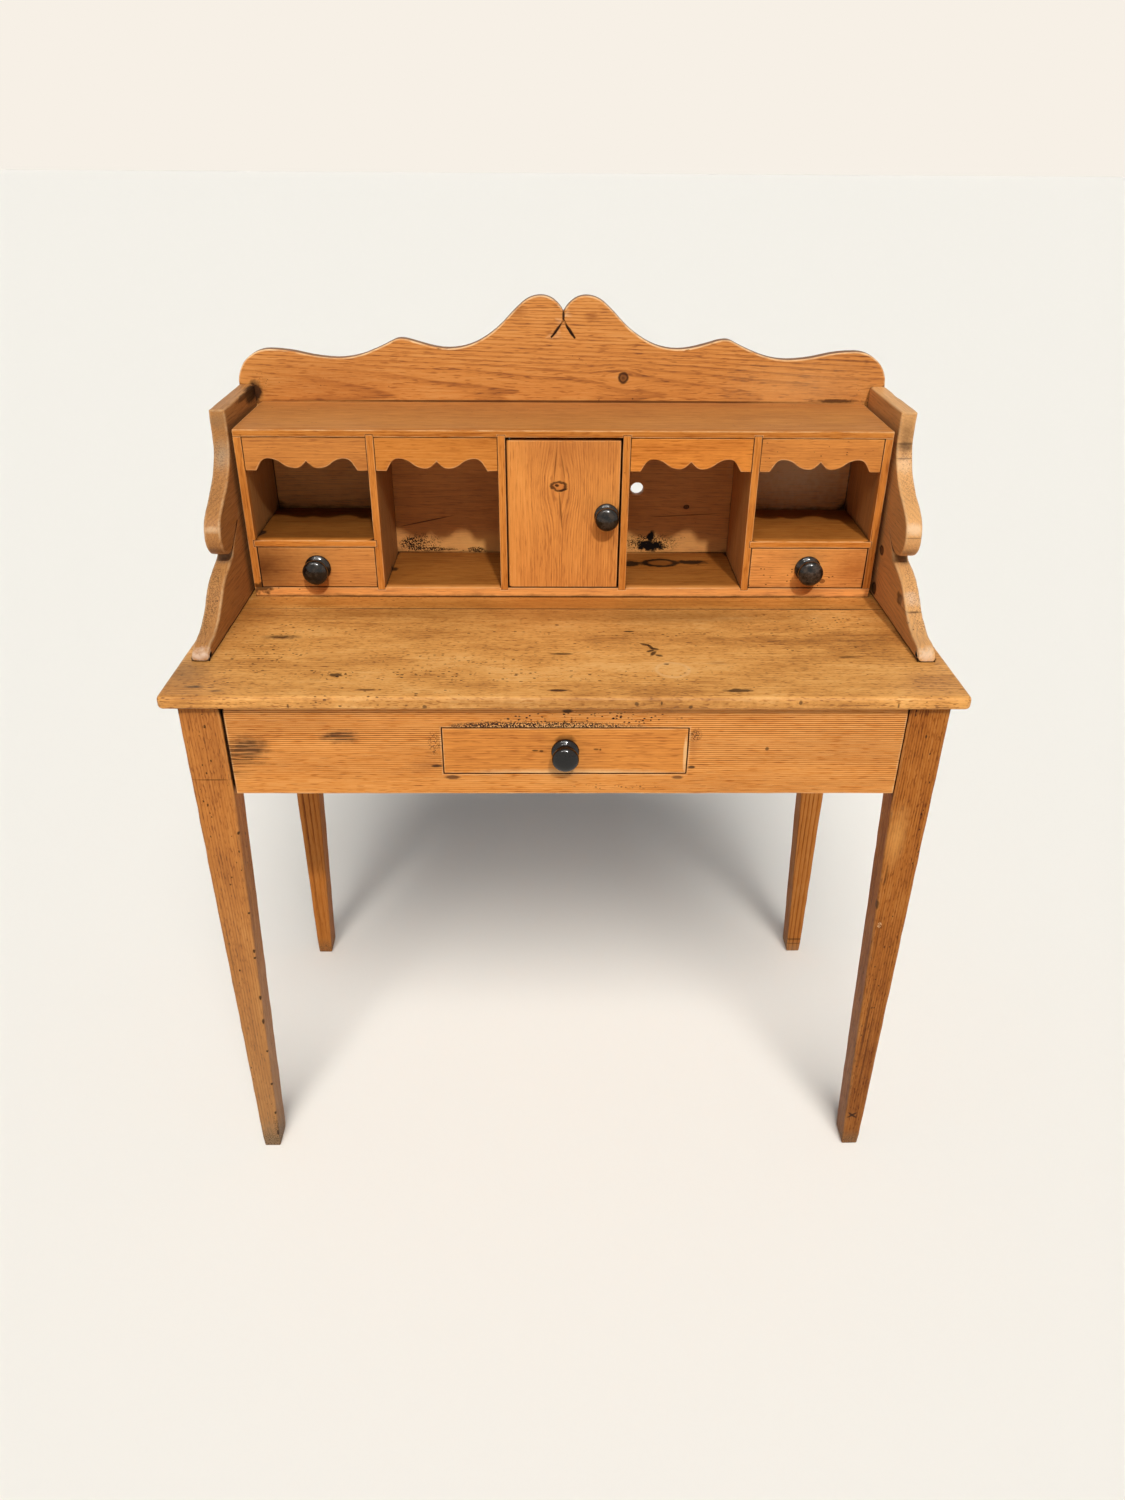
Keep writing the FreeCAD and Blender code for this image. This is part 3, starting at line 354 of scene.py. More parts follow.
def boardMesh(node, work):
    # the node's own shape with softened, worn edges
    longDip, shortDip = 0.035, 0.11  # dents in an edge, per mm
    bm = bmesh.new()
    bm.from_mesh(frame["nodes"][node].data)
    bmesh.ops.remove_doubles(bm, verts=bm.verts, dist=0.01 * mm)
    bmesh.ops.dissolve_limit(bm, angle_limit=math.radians(0.5), verts=bm.verts, edges=bm.edges)
    leastAngle = math.radians(work.get("crisp", 30))
    crisp = [e for e in bm.edges if e.is_manifold and e.calc_face_angle() > leastAngle]
    rounded = bmesh.ops.bevel(bm, geom=crisp, offset=work["edgeRound"] * mm, offset_type="OFFSET", segments=3,
                              profile=0.5, affect="EDGES", material=-1, clamp_overlap=False)["faces"]
    wear = bm.verts.layers.float.new("wear")
    wide = wideFaces(bm, rounded)
    bmesh.ops.inset_region(bm, faces=wide, thickness=work["bandMm"] * mm, use_even_offset=True,
                           use_boundary=True)
    inner = {v for f in wide for v in f.verts}
    for vert in bm.verts:
        vert[wear] = 0.0 if vert in inner else 1.0
    cutAcross(bm, node, work["pitch"] * mm)
    bm.normal_update()
    seed = Vector((len(node) * 3.1, work["seed"] * 7.7, 1.3))  # each board's own stretch of noise
    moves = []
    for vert in bm.verts:
        at = vert.co / mm
        long = max(0.0, noise.noise(at * longDip + seed) + 0.25)
        short = max(0.0, noise.noise(at * shortDip + seed))
        dips = min(long + 0.5 * short, 1.0)
        moves.append((vert, vert.normal * (-vert[wear] * work["edgeWear"] * dips * mm)))
    for vert, move in moves:
        vert.co += move
    if "footWear" in work:
        roundFoot(bm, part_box(node)[0].z, work)
    return bm


def markGrain(bm, node, work):
    # where each point lies in the log: along the grain and across it from the pith
    lo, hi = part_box(node)
    middle = (lo + hi) / 2
    order = grainTurn[work["grain"]]
    tilt = [math.tan(math.radians(a)) for a in work.get("tilt", (0, 0))]
    pith = work["pith"]
    grain = bm.verts.layers.float_vector.new("grainPoint")
    tone = bm.verts.layers.float.new("tone")
    greyed = bm.verts.layers.float.new("greyed")
    wear = bm.verts.layers.float["wear"]
    footTone = work.get("footTone", 1.0)
    fadeHigh = 600 * mm  # legs change towards the foot below this
    logLength = 0.37  # metres of log between one board and the next
    outerX = max(abs(lo.x), abs(hi.x)) - 1 * mm
    bm.normal_update()
    for vert in bm.verts:
        rel = vert.co - middle
        along = rel[order[0]]
        across = [rel[order[k + 1]] - pith[k] * mm + along * tilt[k] for k in (0, 1)]
        vert[grain] = (along + work["seed"] * logLength, across[0], across[1])
        inside = vert.co.y > lo.y + work.get("frontMm", 2) * mm
        if work.get("rimOnly"):
            inside = inside and abs(vert.normal.y) < 0.9
        # inner faces take their inner tone: painted shade deep in the pigeonholes, and a plain darker rim on
        # the crest
        shaded = work.get("innerToneAndShade", 1.0) if inside else 1.0
        fade = footTone + (1 - footTone) * min(1.0, vert.co.z / fadeHigh)
        vert[tone] = work.get("tone", 1.0) * shaded * fade
        frontGreyed = work.get("greyed", 0.0)
        vert[greyed] = work.get("innerGreyed", frontGreyed) if inside else frontGreyed
        vert[greyed] += work.get("footGreyed", 0.0) * max(0.0, 1 - vert.co.z / fadeHigh)
        if inside:
            vert[wear] *= work.get("innerWear", 1.0)
        if vert.co.z < work.get("rubbedAbove", 0) * mm:
            vert[wear] = 0.0
        if "outerTone" in work and abs(vert.co.x) > outerX:
            vert[tone], vert[greyed] = work["outerTone"], work["outerGreyed"]


def placePiece(name, bm, node, material):
    mesh = bpy.data.meshes.new(name)
    bm.to_mesh(mesh)
    bm.free()
    mesh.materials.append(material)
    for face in mesh.polygons:
        face.use_smooth = True
    mesh.set_sharp_from_angle(angle=math.radians(40))
    made = bpy.data.objects.new(name, mesh)
    scene.collection.objects.link(made)
    evened = made.modifiers.new("evenNormals", "WEIGHTED_NORMAL")
    evened.keep_sharp = True
    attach(made, bodyOf[node])
    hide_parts(node)
    pieces.append(made)


def carveLines(bm, carving):
    # round-bottomed gouge cuts along lines of points, taken out of the board one after the other
    board = bpy.data.objects.new("carvedBoard", bpy.data.meshes.new("carvedBoard"))
    scene.collection.objects.link(board)
    for line in carving["lines"]:
        gouge = bpy.data.curves.new("gouge", "CURVE")
        gouge.dimensions = "3D"
        gouge.bevel_depth = carving["radius"] * mm
        gouge.bevel_resolution = 1
        gouge.use_fill_caps = True
        spline = gouge.splines.new("POLY")
        spline.points.add(len(line) - 1)
        for point, (x, z) in zip(spline.points, line):
            point.co = (x * mm, carving["faceY"] * mm, z * mm, 1)
        path = bpy.data.objects.new("gougePath", gouge)
        scene.collection.objects.link(path)
        cutter = bpy.data.objects.new("cutter", bpy.data.meshes.new_from_object(path))
        scene.collection.objects.link(cutter)
        bm.to_mesh(board.data)
        cut = board.modifiers.new("carve", "BOOLEAN")
        cut.object, cut.operation, cut.solver = cutter, "DIFFERENCE", "EXACT"
        evaluated = board.evaluated_get(bpy.context.evaluated_depsgraph_get())
        carved = bpy.data.meshes.new_from_object(evaluated)
        bm.clear()
        bm.from_mesh(carved)
        board.modifiers.clear()
        for made in (path, cutter):
            bpy.data.objects.remove(made)
    bpy.data.objects.remove(board)


dirtAndShadeRays = {"count": 32, "reach": 8 * mm, "lift": 0.3 * mm, "leastRise": 0.2}


def gatherDirtAndShade():
    # how closed in each point is by wood within reach, from short rays over its open side; the wood darkens
    # by it with dirt and painted shade
    spread = []
    for step in range(dirtAndShadeRays["count"]):
        height = 1 - (2 * step + 1) / dirtAndShadeRays["count"]
        turn = step * math.pi * (3 - math.sqrt(5))
        width = math.sqrt(1 - height * height)
        spread.append(Vector((width * math.cos(turn), width * math.sin(turn), height)))
    corners, faces = [], []
    for piece in pieces:
        start = len(corners)
        corners += [v.co for v in piece.data.vertices]
        faces += [[start + i for i in f.vertices] for f in piece.data.polygons]
    wood = BVHTree.FromPolygons(corners, faces)
    for piece in pieces:
        values = []
        for vert in piece.data.vertices:
            start = vert.co + vert.normal * dirtAndShadeRays["lift"]
            rays = [r for r in spread if r.dot(vert.normal) > dirtAndShadeRays["leastRise"]]
            gaps = [wood.ray_cast(start, r, dirtAndShadeRays["reach"])[3] for r in rays]
            values.append(sum(1 - g / dirtAndShadeRays["reach"] for g in gaps if g is not None) / len(rays))
        piece.data.attributes.new("closedIn", "FLOAT", "POINT").data.foreach_set("value", values)


def buildBoards(group):
    material = pineMaterial(group)
    for node, own in group["boards"].items():
        work = {"seed": len(pieces) + 1, **group, **own}  # the boards' order gives each its own grain
        bm = boardMesh(node, work)
        if "carving" in work:
            carveLines(bm, work["carving"])
        markGrain(bm, node, work)
        placePiece(node + "_board", bm, node, material)
    print(group["pine"], "boards done")


# what every pine has, unless its board's own look says otherwise; lengths in mm
basePine = {
    "deep": "#6a300b", "late": "#a55c1d", "early": "#cf8236", "pale": "#e3a25a", "dirt": "#231005",
    "rubbedAndHighlit": "#e3b884", "dust": "#b5986b", "grimeAndShadeHue": "#1c0c04", "ringMm": 3.4, "warpMm": 3.0, "swayMm": 50,
    "rings": 0.3, "fibre": 0.5, "streak": 0.2, "strokes": 0.16, "strokeDraw": 0.1, "mottle": 0.35,
    "mottleMm": 30, "patches": 0.4, "patchMm": 110, "pits": -0.1, "pitMm": 2.8, "pitWide": 0.36,
    "pitDraw": 0.6, "rubAndHighlightAmount": 0.6, "roughness": 0.48, "sheen": 0.2, "bumpMm": 0.25, "grimeAndShade": 0.95,
}
# in mm: the edges' bevel, the depth of their dents, the rubbed band beside them, the spacing of cuts
thinBoard = {"edgeRound": 0.8, "edgeWear": 0.35, "bandMm": 1.0, "pitch": 13}

# legs, darker and duller towards the bottom, their feet rounded off
leg = {"edgeRound": 2.0, "edgeWear": 0.8, "bandMm": 2.5, "pitch": 20, "grain": "Z", "footWear": 0.1,
       "footHigh": 7}
legHues = {"late": "#8e4c16", "early": "#b56c28", "pale": "#cc8a45", "sheen": 0.12, "rubAndHighlightAmount": 0.3}
legs = {
    **leg, "pine": "legPine", "footTone": 0.75,
    "look": {**legHues, "deep": "#5f2b0a", "rubbedAndHighlit": "#c08a50", "ringMm": 2.4, "warpMm": 2.0, "mottle": 0.7,
             "streak": 0.4, "fibre": 0.65, "strokes": 0.3, "strokeDraw": 0.2, "pits": 0.02, "pitMm": 3.4,
             "pitWide": 0.46},
    "boards": {
        "leg_front_left": {"pith": (-60, 45), "tone": 0.97, "greyed": 0.08, "footGreyed": 0.3},
        "leg_front_right": {"pith": (70, 40), "tone": 0.8, "footTone": 0.64},
    },
    "marks": [
        spot(-418, -222, 642, 26, 12, 0.9, amount=0.7, ragged=0.3),
        spot(425, -222, 63, 10, 8, 2.2, turn=(0, 40, 0)),
        spot(425, -222, 63, 10, 8, 2.2, turn=(0, -40, 0)),
        spot(401, -222, 453, 3, 8, 9, amount=0.7),
        spot(405, -222, 500, 1.6, 8, 22, amount=0.5),
        smudge(-430, -222, 3, 40, 60, 60, hue="#7d684e", amount=0.8),
        spot(-430, -222, 8, 40, 60, 36, hue="#33200f", soft=0.6, speckled=0.5),
        spot(-419, -222, 45, 4, 9, 26, speckled=0.5, dent=1),
        # dents down the left leg's inner arris
        *(spot(-419.5 + 0.0386 * z, -222, z, 1.8, 6, high, amount=0.9, ragged=0.8, dent=1)
          for z, high in ((565, 3), (441, 2.4), (378, 4), (366, 2.2), (296, 5), (252, 6), (196, 3), (131, 3),
                          (72, 4), (31, 7))),
        smudge(430, -222, 3, 40, 60, 30, hue="#8a6a48", amount=0.5, ragged=0.3),
        spot(430, -222, 4, 40, 60, 24, hue="#33200f", amount=0.8, soft=0.6, speckled=0.5),
        spot(418, -222, 240, 2.2, 8, 120, hue="#4a2208", amount=0.75, soft=0.7),
        spot(426, -222, 180, 1.8, 8, 110, hue="#4a2208", amount=0.7, soft=0.7),
        spot(410, -222, 400, 1.6, 8, 70, hue="#55290a", amount=0.6, soft=0.7),
        spot(409, -222, 420, 3, 8, 5, hue="#f0c890", amount=0.8, speckled=0.5),
        # painted highlight: a paler patch high on the right leg's left side
        smudge(408, -222, 560, 16, 8, 60, hue="#e0a055", amount=0.45),
    ],
}
buildBoards(legs)
backLegs = {
    **leg, "pine": "backLegPine", "footTone": 0.8,
    "look": {**legHues, "deep": "#5a2a0c", "rubbedAndHighlit": "#b07a45", "rings": 0.45, "ringMm": 5.2, "warpMm": 1.5},
    "boards": {
        "leg_back_left": {"pith": (-35, -60), "tone": 0.95},
        "leg_back_right": {"pith": (45, -55), "tone": 0.9},
    },
    "marks": [
        patch(-430, 227, 3, 40, 60, 34, hue="#7a5a3a", amount=0.6),
        spot(-430, 227, 6, 40, 60, 26, hue="#2c1a0c", amount=0.75, soft=0.6, speckled=0.54),
        patch(430, 227, 3, 40, 60, 26, hue="#8a6a48", amount=0.6),
        spot(430, 227, 30, 40, 60, 3, hue="#3d220c", amount=0.7, soft=0.6, ragged=0.15),
        spot(430, 227, 20, 40, 60, 1.6, hue="#3d220c", amount=0.7, soft=0.6, ragged=0.1),
    ],
}
buildBoards(backLegs)

# aprons, with worm holes over the drawer and stains drawn out along the grain
aprons = {
    "pine": "apronPine",
    "edgeRound": 1.0, "edgeWear": 0.4, "bandMm": 1.5, "pitch": 16, "grain": "X",
    "look": {"ringMm": 2.7, "warpMm": 1.2, "rings": 1.0, "fibre": 0.62, "strokes": 0.3, "pitMm": 2.6,
             "pitWide": 0.62, "pits": -0.3},
    "boards": {
        "apron_front": {"pith": (25, -190), "tone": 0.94},
        "apron_back": {"pith": (-30, -160)},
        "apron_left": {"grain": "Y", "pith": (30, -120)},
        "apron_right": {"grain": "Y", "pith": (-30, 120)},
    },
    "marks": [
        spot(-22, -221, 714, 116, 6, 5.5, hue="#e6b070", amount=0.5, soft=0.6),
        spot(-22, -221, 714.5, 122, 6, 6.5, speckled=0.47, amount=1.0, dent=1.5),
        spot(-85, -221, 714, 60, 6, 7, hue="#3a1c0a", speckled=0.42, amount=0.9, ragged=0.6, dent=1),
        spot(151, -221, 702, 8, 6, 9, speckled=0.48, ragged=0.8),
        spot(-152, -221, 692, 9, 6, 18, speckled=0.53, amount=0.7, ragged=0.8),
        spot(20, -221, 724, 130, 6, 10, pitted=0.62, soft=0.3, amount=1.0, ragged=0.7, dent=1),
        spot(2, -221, 734, 8, 6, 3, dent=1),
        smudge(-260, -221, 701, 26, 6, 11, hue="#8a5526", amount=0.45, ragged=1.0),
        spot(-260, -221, 701, 28, 6, 12, hue="#3a1e0a", soft=0.6, ragged=0.9, streaked=0.48),
        spot(-368, -221, 684, 26, 6, 17, hue="#7a5230", amount=0.6, soft=0.7, ragged=0.7),
        spot(-370, -221, 682, 34, 6, 25, hue="#432509", soft=0.6, ragged=0.7, streaked=0.47),
        patch(-388, -221, 664, 30, 6, 26, hue="#4a2a0e", amount=0.75, ragged=0.6, streaked=0.46),
        smudge(-163, -221, 661, 26, 6, 14, hue="#8a4d1d", amount=0.5, ragged=1.3),
        spot(-151, -221, 660.6, 8, 6, 2.2, amount=0.9),
        spot(-133, -221, 645, 11, 6, 3.6, amount=0.8, hue="#3d1d0a", dent=1),
        spot(149, -221, 659, 5, 6, 2.6),
        spot(133, -221, 645, 8, 6, 2.8, amount=0.75, hue="#4a260d"),
        spot(236, -221, 684, 2.6, 6, 3.2, amount=0.7),
        smudge(150, -221, 690, 8, 6, 25, hue="#9a5a26", amount=0.45, ragged=1.2),
        spot(60, -221, 632, 60, 6, 5, pitted=0.5, amount=0.7),
    ],
}
buildBoards(aprons)

# writing top, worn paler than the rest, with a dark line at the joint and at the nest's foot
top = {
    "pine": "wornPineTop", "slot": "worn_pine_top",
    "edgeRound": 0.8, "edgeWear": 0.4, "bandMm": 2.0, "pitch": 16, "grain": "X", "crisp": 60,
    "look": {"deep": "#6d3b10", "late": "#a86a28", "early": "#cf9046", "pale": "#e2af6c", "rubbedAndHighlit": "#dba868",
             "ringMm": 4.5, "warpMm": 7.0, "rings": 0.16, "fibre": 0.62, "streak": 0.1, "mottle": 1.2,
             "mottleMm": 46, "patches": 0.6, "patchMm": 70, "pits": 0.03, "pitMm": 3.2, "pitWide": 0.46,
             "strokes": 0.42, "strokeDraw": 0.22},
    "boards": {
        "top_front_board": {"pith": (60, -55), "tilt": (0.6, 0.9), "tone": 1.13, "greyed": 0.12},
        "top_back_board": {"pith": (-70, -60), "tilt": (0.4, 0.6), "tone": 1.02, "greyed": 0.06},
    },
    "marks": [
        smudge(-20, 20, 758, 470, 105, 9, hue="#8f5720", amount=0.42, ragged=0.35),
        # painted shade on the top beside the left gallery side, where that side blocks the light
        smudge(-420, 0, 758, 60, 190, 9, hue="#8f5720", amount=0.5),
        smudge(420, 10, 758, 50, 150, 9, hue="#8f5720", amount=0.45),
        spot(0, 44, 758, 450, 25, 6, hue="#b5702c", amount=0.4, soft=0.2, ragged=0.1),
        patch(150, -4, 758, 230, 28, 9, hue="#74420f", amount=0.5, ragged=0.7),
        patch(-260, 2, 758, 170, 22, 9, hue="#74420f", amount=0.4, ragged=0.7),
        spot(0, 21, 758, 445, 1.6, 6, hue="#3a1c08", soft=0.3, ragged=0.12),
        spot(354, 21, 758, 90, 2.0, 6, amount=0.9, ragged=0.15),
        spot(0, 62, 758, 417, 2.0, 5, hue="#4a2208", ragged=0.12),
        patch(-353, -71, 758, 30, 9, 9, hue="#3d1f0a", amount=0.95, ragged=0.9),
        spot(-282, -174, 758, 46, 16, 9, pitted=0.35, amount=0.95, dent=1),
        spot(-268, -177, 758, 9, 5, 9, dent=1, ragged=1.1),
        spot(-360, -120, 758, 60, 45, 9, pitted=0.6, amount=0.9),
        spot(-120, -150, 758, 160, 60, 9, pitted=0.75, amount=0.7),
        spot(-227, -215, 758, 13, 3.2, 9, hue="#55300f", amount=0.8),
        spot(-4, -119, 758, 18, 2.9, 9, dent=1, hue="#1c0c04"),
        spot(-9, -216, 758, 14, 3.6, 9, hue="#34190a", amount=0.95),
        spot(196, -216, 758, 20, 5.5, 9, dent=1.5, ragged=0.8),
        spot(100, -92, 758, 8, 3.2, 9, turn=(0, 0, -30), ragged=0.7),
        spot(106, -99, 758, 3.2, 9, 9, turn=(0, 0, 25), ragged=0.7),
        spot(110, -104, 758, 8, 3.4, 9, turn=(0, 0, -20), ragged=0.7),
        spot(105, -110, 758, 7, 3.0, 9, turn=(0, 0, 35), ragged=0.7),
        spot(108, -117, 758, 3.2, 10, 9, turn=(0, 0, -25), ragged=0.7),
        spot(114, -123, 758, 6, 3.2, 9, turn=(0, 0, -30), ragged=0.7),
        patch(0, -236, 752, 460, 7, 12, hue="#8a5522", amount=0.6, ragged=0.9),
        # chips along the front edge
        *(spot(x, -235, z, wide, 5, 3.2, amount=0.7, ragged=0.9, dent=1)
          for x, z, wide in ((-312, 747, 1.5), (-159, 746, 3.5), (80, 750, 3.5), (108, 751, 1.3),
                             (141, 746, 3), (265, 752, 2.4), (376, 748, 1.4))),
        spot(121, -147, 758, 4, 3, 9),
        spot(127, -163, 758, 22, 22, 9, hollow=0.86, hue="#e4b880", amount=0.4, soft=0.08, ragged=0.12),
        spot(82, -52, 758, 8, 2.6, 9),
        patch(183, -144, 758, 18, 6, 9, hue="#7d4a1c", amount=0.45),
        patch(190, -72, 758, 13, 6, 9, hue="#7d4a1c", amount=0.45),
        spot(344, -127, 758, 14, 2.8, 9, amount=0.7, ragged=1.0),
        spot(-9, -32, 758, 3.5, 3, 9, amount=0.7),
        patch(-423, -208, 758, 16, 5, 9, hue="#3c2c20", amount=0.9, ragged=0.9),
        patch(-395, -218, 758, 11, 3, 9, hue="#3c2c20", amount=0.8, ragged=0.9),
        smudge(-445, -165, 758, 40, 50, 9, hue="#74502c", amount=0.6, ragged=1.0),
        spot(310, -30, 758, 120, 35, 9, pitted=0.75, amount=0.7),
    ],
}
buildBoards(top)

# crest board, with its carved slit and two gouge lines below the notch, a darker top rim, and a pale worn
# front edge that is also a painted highlight
crest = {
    "pine": "crestPine",
    "edgeRound": 1.3, "edgeWear": 0.5, "bandMm": 1.0, "pitch": 13, "grain": "X",
    "frontMm": 1.6, "innerToneAndShade": 0.34, "innerWear": 0.0, "rimOnly": True,
    # the bright worn edge colour here is also a painted highlight along the rounded front edge
    "look": {"ringMm": 3.6, "rings": 0.36, "warpMm": 4.0, "fibre": 0.68, "strokes": 0.34, "rubbedAndHighlit": "#f0cd9c",
             "rubAndHighlightAmount": 0.85},
    "boards": {
        "crest": {"pith": (-70, -30), "tilt": (1.2, 0.8), "greyed": 0.12},
    },
    "carving": {
        "faceY": 224, "radius": 1.5,
        "lines": [[(0, 1101), (0, 1092), (-1.5, 1086), (-5, 1079), (-10.5, 1071.5), (-16.7, 1065.8)],
                  [(0.4, 1088), (1.9, 1085.5), (5, 1078.5), (10, 1071), (15.7, 1064.7)]],
    },
    "knots": [
        {"at": (82.6, 224, 1013.7), "size": (34, 14, 15), "core": (6.5, 8, 7), "heart": "#5c2f10"},
    ],
    "marks": [
        spot(0, 224, 1093, 2.1, 5, 9, ragged=0.2, amount=0.95),
        spot(-9, 224, 1075, 2.3, 5, 14, turn=(0, 37, 0), ragged=0.3, amount=0.95),
        spot(9, 224, 1074.5, 2.3, 5, 14, turn=(0, -36, 0), ragged=0.3, amount=0.95),
        # painted shade: a near-black patch for the shaded broken hollow where the crest meets the left side
        spot(-424, 224, 994, 12, 6, 17, ragged=0.8, amount=0.95, hue="#1c0c06"),
        spot(418, 224, 993, 34, 8, 14, pitted=0.1),
        spot(-415, 224, 1010, 16, 8, 14, pitted=0.1),
        smudge(400, 224, 1015, 60, 8, 40, hue="#a5602c", amount=0.12, ragged=1.0),
        smudge(-60, 224, 1098, 16, 8, 10, hue="#8a4a1c", amount=0.5, ragged=1.0),
        smudge(38, 224, 1092, 12, 8, 9, hue="#8a4a1c", amount=0.5, ragged=1.0),
        smudge(330, 224, 1000, 130, 8, 50, hue="#e6b070", amount=0.3, ragged=0.6),
        smudge(-320, 224, 1000, 120, 8, 60, hue="#a5602c", amount=0.35, ragged=0.8),
        spot(0, 224, 982, 417, 5, 2.0, hue="#4a2208", ragged=0.12),
        spot(380, 224, 984, 40, 5, 3.4, hue="#34180a", soft=0.5, ragged=0.8),
    ],
}
buildBoards(crest)

# scrolled gallery sides, duller and more knocked about than the rest
sides = {
    "pine": "sidePine",
    "edgeRound": 2.0, "edgeWear": 0.9, "bandMm": 1.6, "pitch": 13, "grain": "Y",
    "outerTone": 0.95, "outerGreyed": 0.16,
    "look": {"rings": 0.25, "ringMm": 4.0, "warpMm": 6.0, "pits": -0.05, "rubbedAndHighlit": "#c9a478", "fibre": 0.7,
             "strokes": 0.25},
    "boards": {
        "gallery_side_left": {"pith": (60, -40), "tilt": (1.0, 1.0), "tone": 0.72, "greyed": 0.32},
        "gallery_side_right": {"pith": (-55, -50), "tilt": (1.0, -1.0), "tone": 1.2, "greyed": 0.53},
    },
    "knots": [
        {"at": (423.5, 58.7, 827), "size": (14, 24, 16), "core": (8, 8, 6), "heart": "#4a2813"},
        {"at": (423.5, 65, 771), "size": (14, 24, 20), "core": (8, 9, 8), "heart": "#4a2813"},
    ],
    "marks": [
        # painted shade: a near-black patch for the shaded broken hollow where this side meets the crest
        spot(-424, 200, 996, 9, 38, 14, amount=0.97, hue="#120805"),
        spot(-424, 160, 1000, 3, 40, 5, ragged=0.6, amount=0.8),
        spot(423.5, -41, 799, 8, 14, 9, ragged=1.2, amount=0.75),
        # paler band on the front edge: painted highlight and polished wear
        spot(434, 60, 940, 14, 25, 12, hue="#e3c39c", amount=0.3, soft=0.6),
        patch(434, 66, 974, 14, 32, 36, hue="#6b4826", amount=0.6, ragged=0.7),
        patch(434, 63, 962, 14, 30, 7, hue="#3d2713", amount=0.6, ragged=1.2),
        spot(434, 65, 965, 14, 25, 2, amount=0.5, ragged=0.3),
        spot(434, 60, 948, 14, 25, 1.2, amount=0.5, ragged=0.3),
        # paler patch on the scroll's nose: painted highlight and polished wear
        spot(434, -22, 882, 14, 14, 9, hue="#e6c59e", amount=0.55, soft=0.6, ragged=0.4),
        spot(434, -20, 872, 14, 14, 1.2, amount=0.45, ragged=0.3),
        patch(434, -15, 852, 14, 14, 8, hue="#54381f", amount=0.5, ragged=0.6),
        spot(434, -50, 800, 14, 20, 14, hue="#d9bfa6", amount=0.5, soft=0.7, ragged=1.0),
        spot(434, -60, 793, 14, 20, 1.6, amount=0.75, ragged=0.3),
        spot(434, -80, 784, 14, 40, 12, pitted=0.3, amount=0.8),
        spot(434, -135, 765, 14, 16, 10, hue="#e0c8ac", amount=0.5, soft=0.6, ragged=1.2),
        patch(434, 5, 836, 14, 22, 9, hue="#4a321f", amount=0.6),
        patch(-434, 60, 950, 14, 25, 26, hue="#9a8466", amount=0.6, ragged=0.6),
        patch(-434, 66, 990, 14, 12, 14, hue="#7d6446", amount=0.5, ragged=0.8),
        # paler patch on the scroll's nose: painted highlight and polished wear
        spot(-434, -22, 880, 14, 14, 5, hue="#dcb88e", amount=0.5, soft=0.6, ragged=0.8),
        patch(-434, -15, 853, 14, 14, 8, hue="#4a3420", amount=0.5, ragged=0.6),
        patch(-434, 5, 836, 14, 22, 9, hue="#8d8170", amount=0.6),
        spot(-440, -60, 810, 14, 80, 60, hue="#4a2e18", speckled=0.5, amount=0.55, soft=0.3),
        spot(-440, 40, 930, 14, 60, 60, hue="#5a3c20", speckled=0.54, amount=0.5, soft=0.3),
        spot(440, -60, 810, 14, 80, 50, hue="#5a3a20", speckled=0.55, amount=0.5, soft=0.3),
        spot(440, 40, 940, 14, 60, 60, hue="#6a4420", speckled=0.56, amount=0.45, soft=0.3),
        spot(-434, -135, 764, 14, 16, 10, hue="#dcc4ae", amount=0.6, soft=0.6, ragged=1.4),
    ],
}
buildBoards(sides)

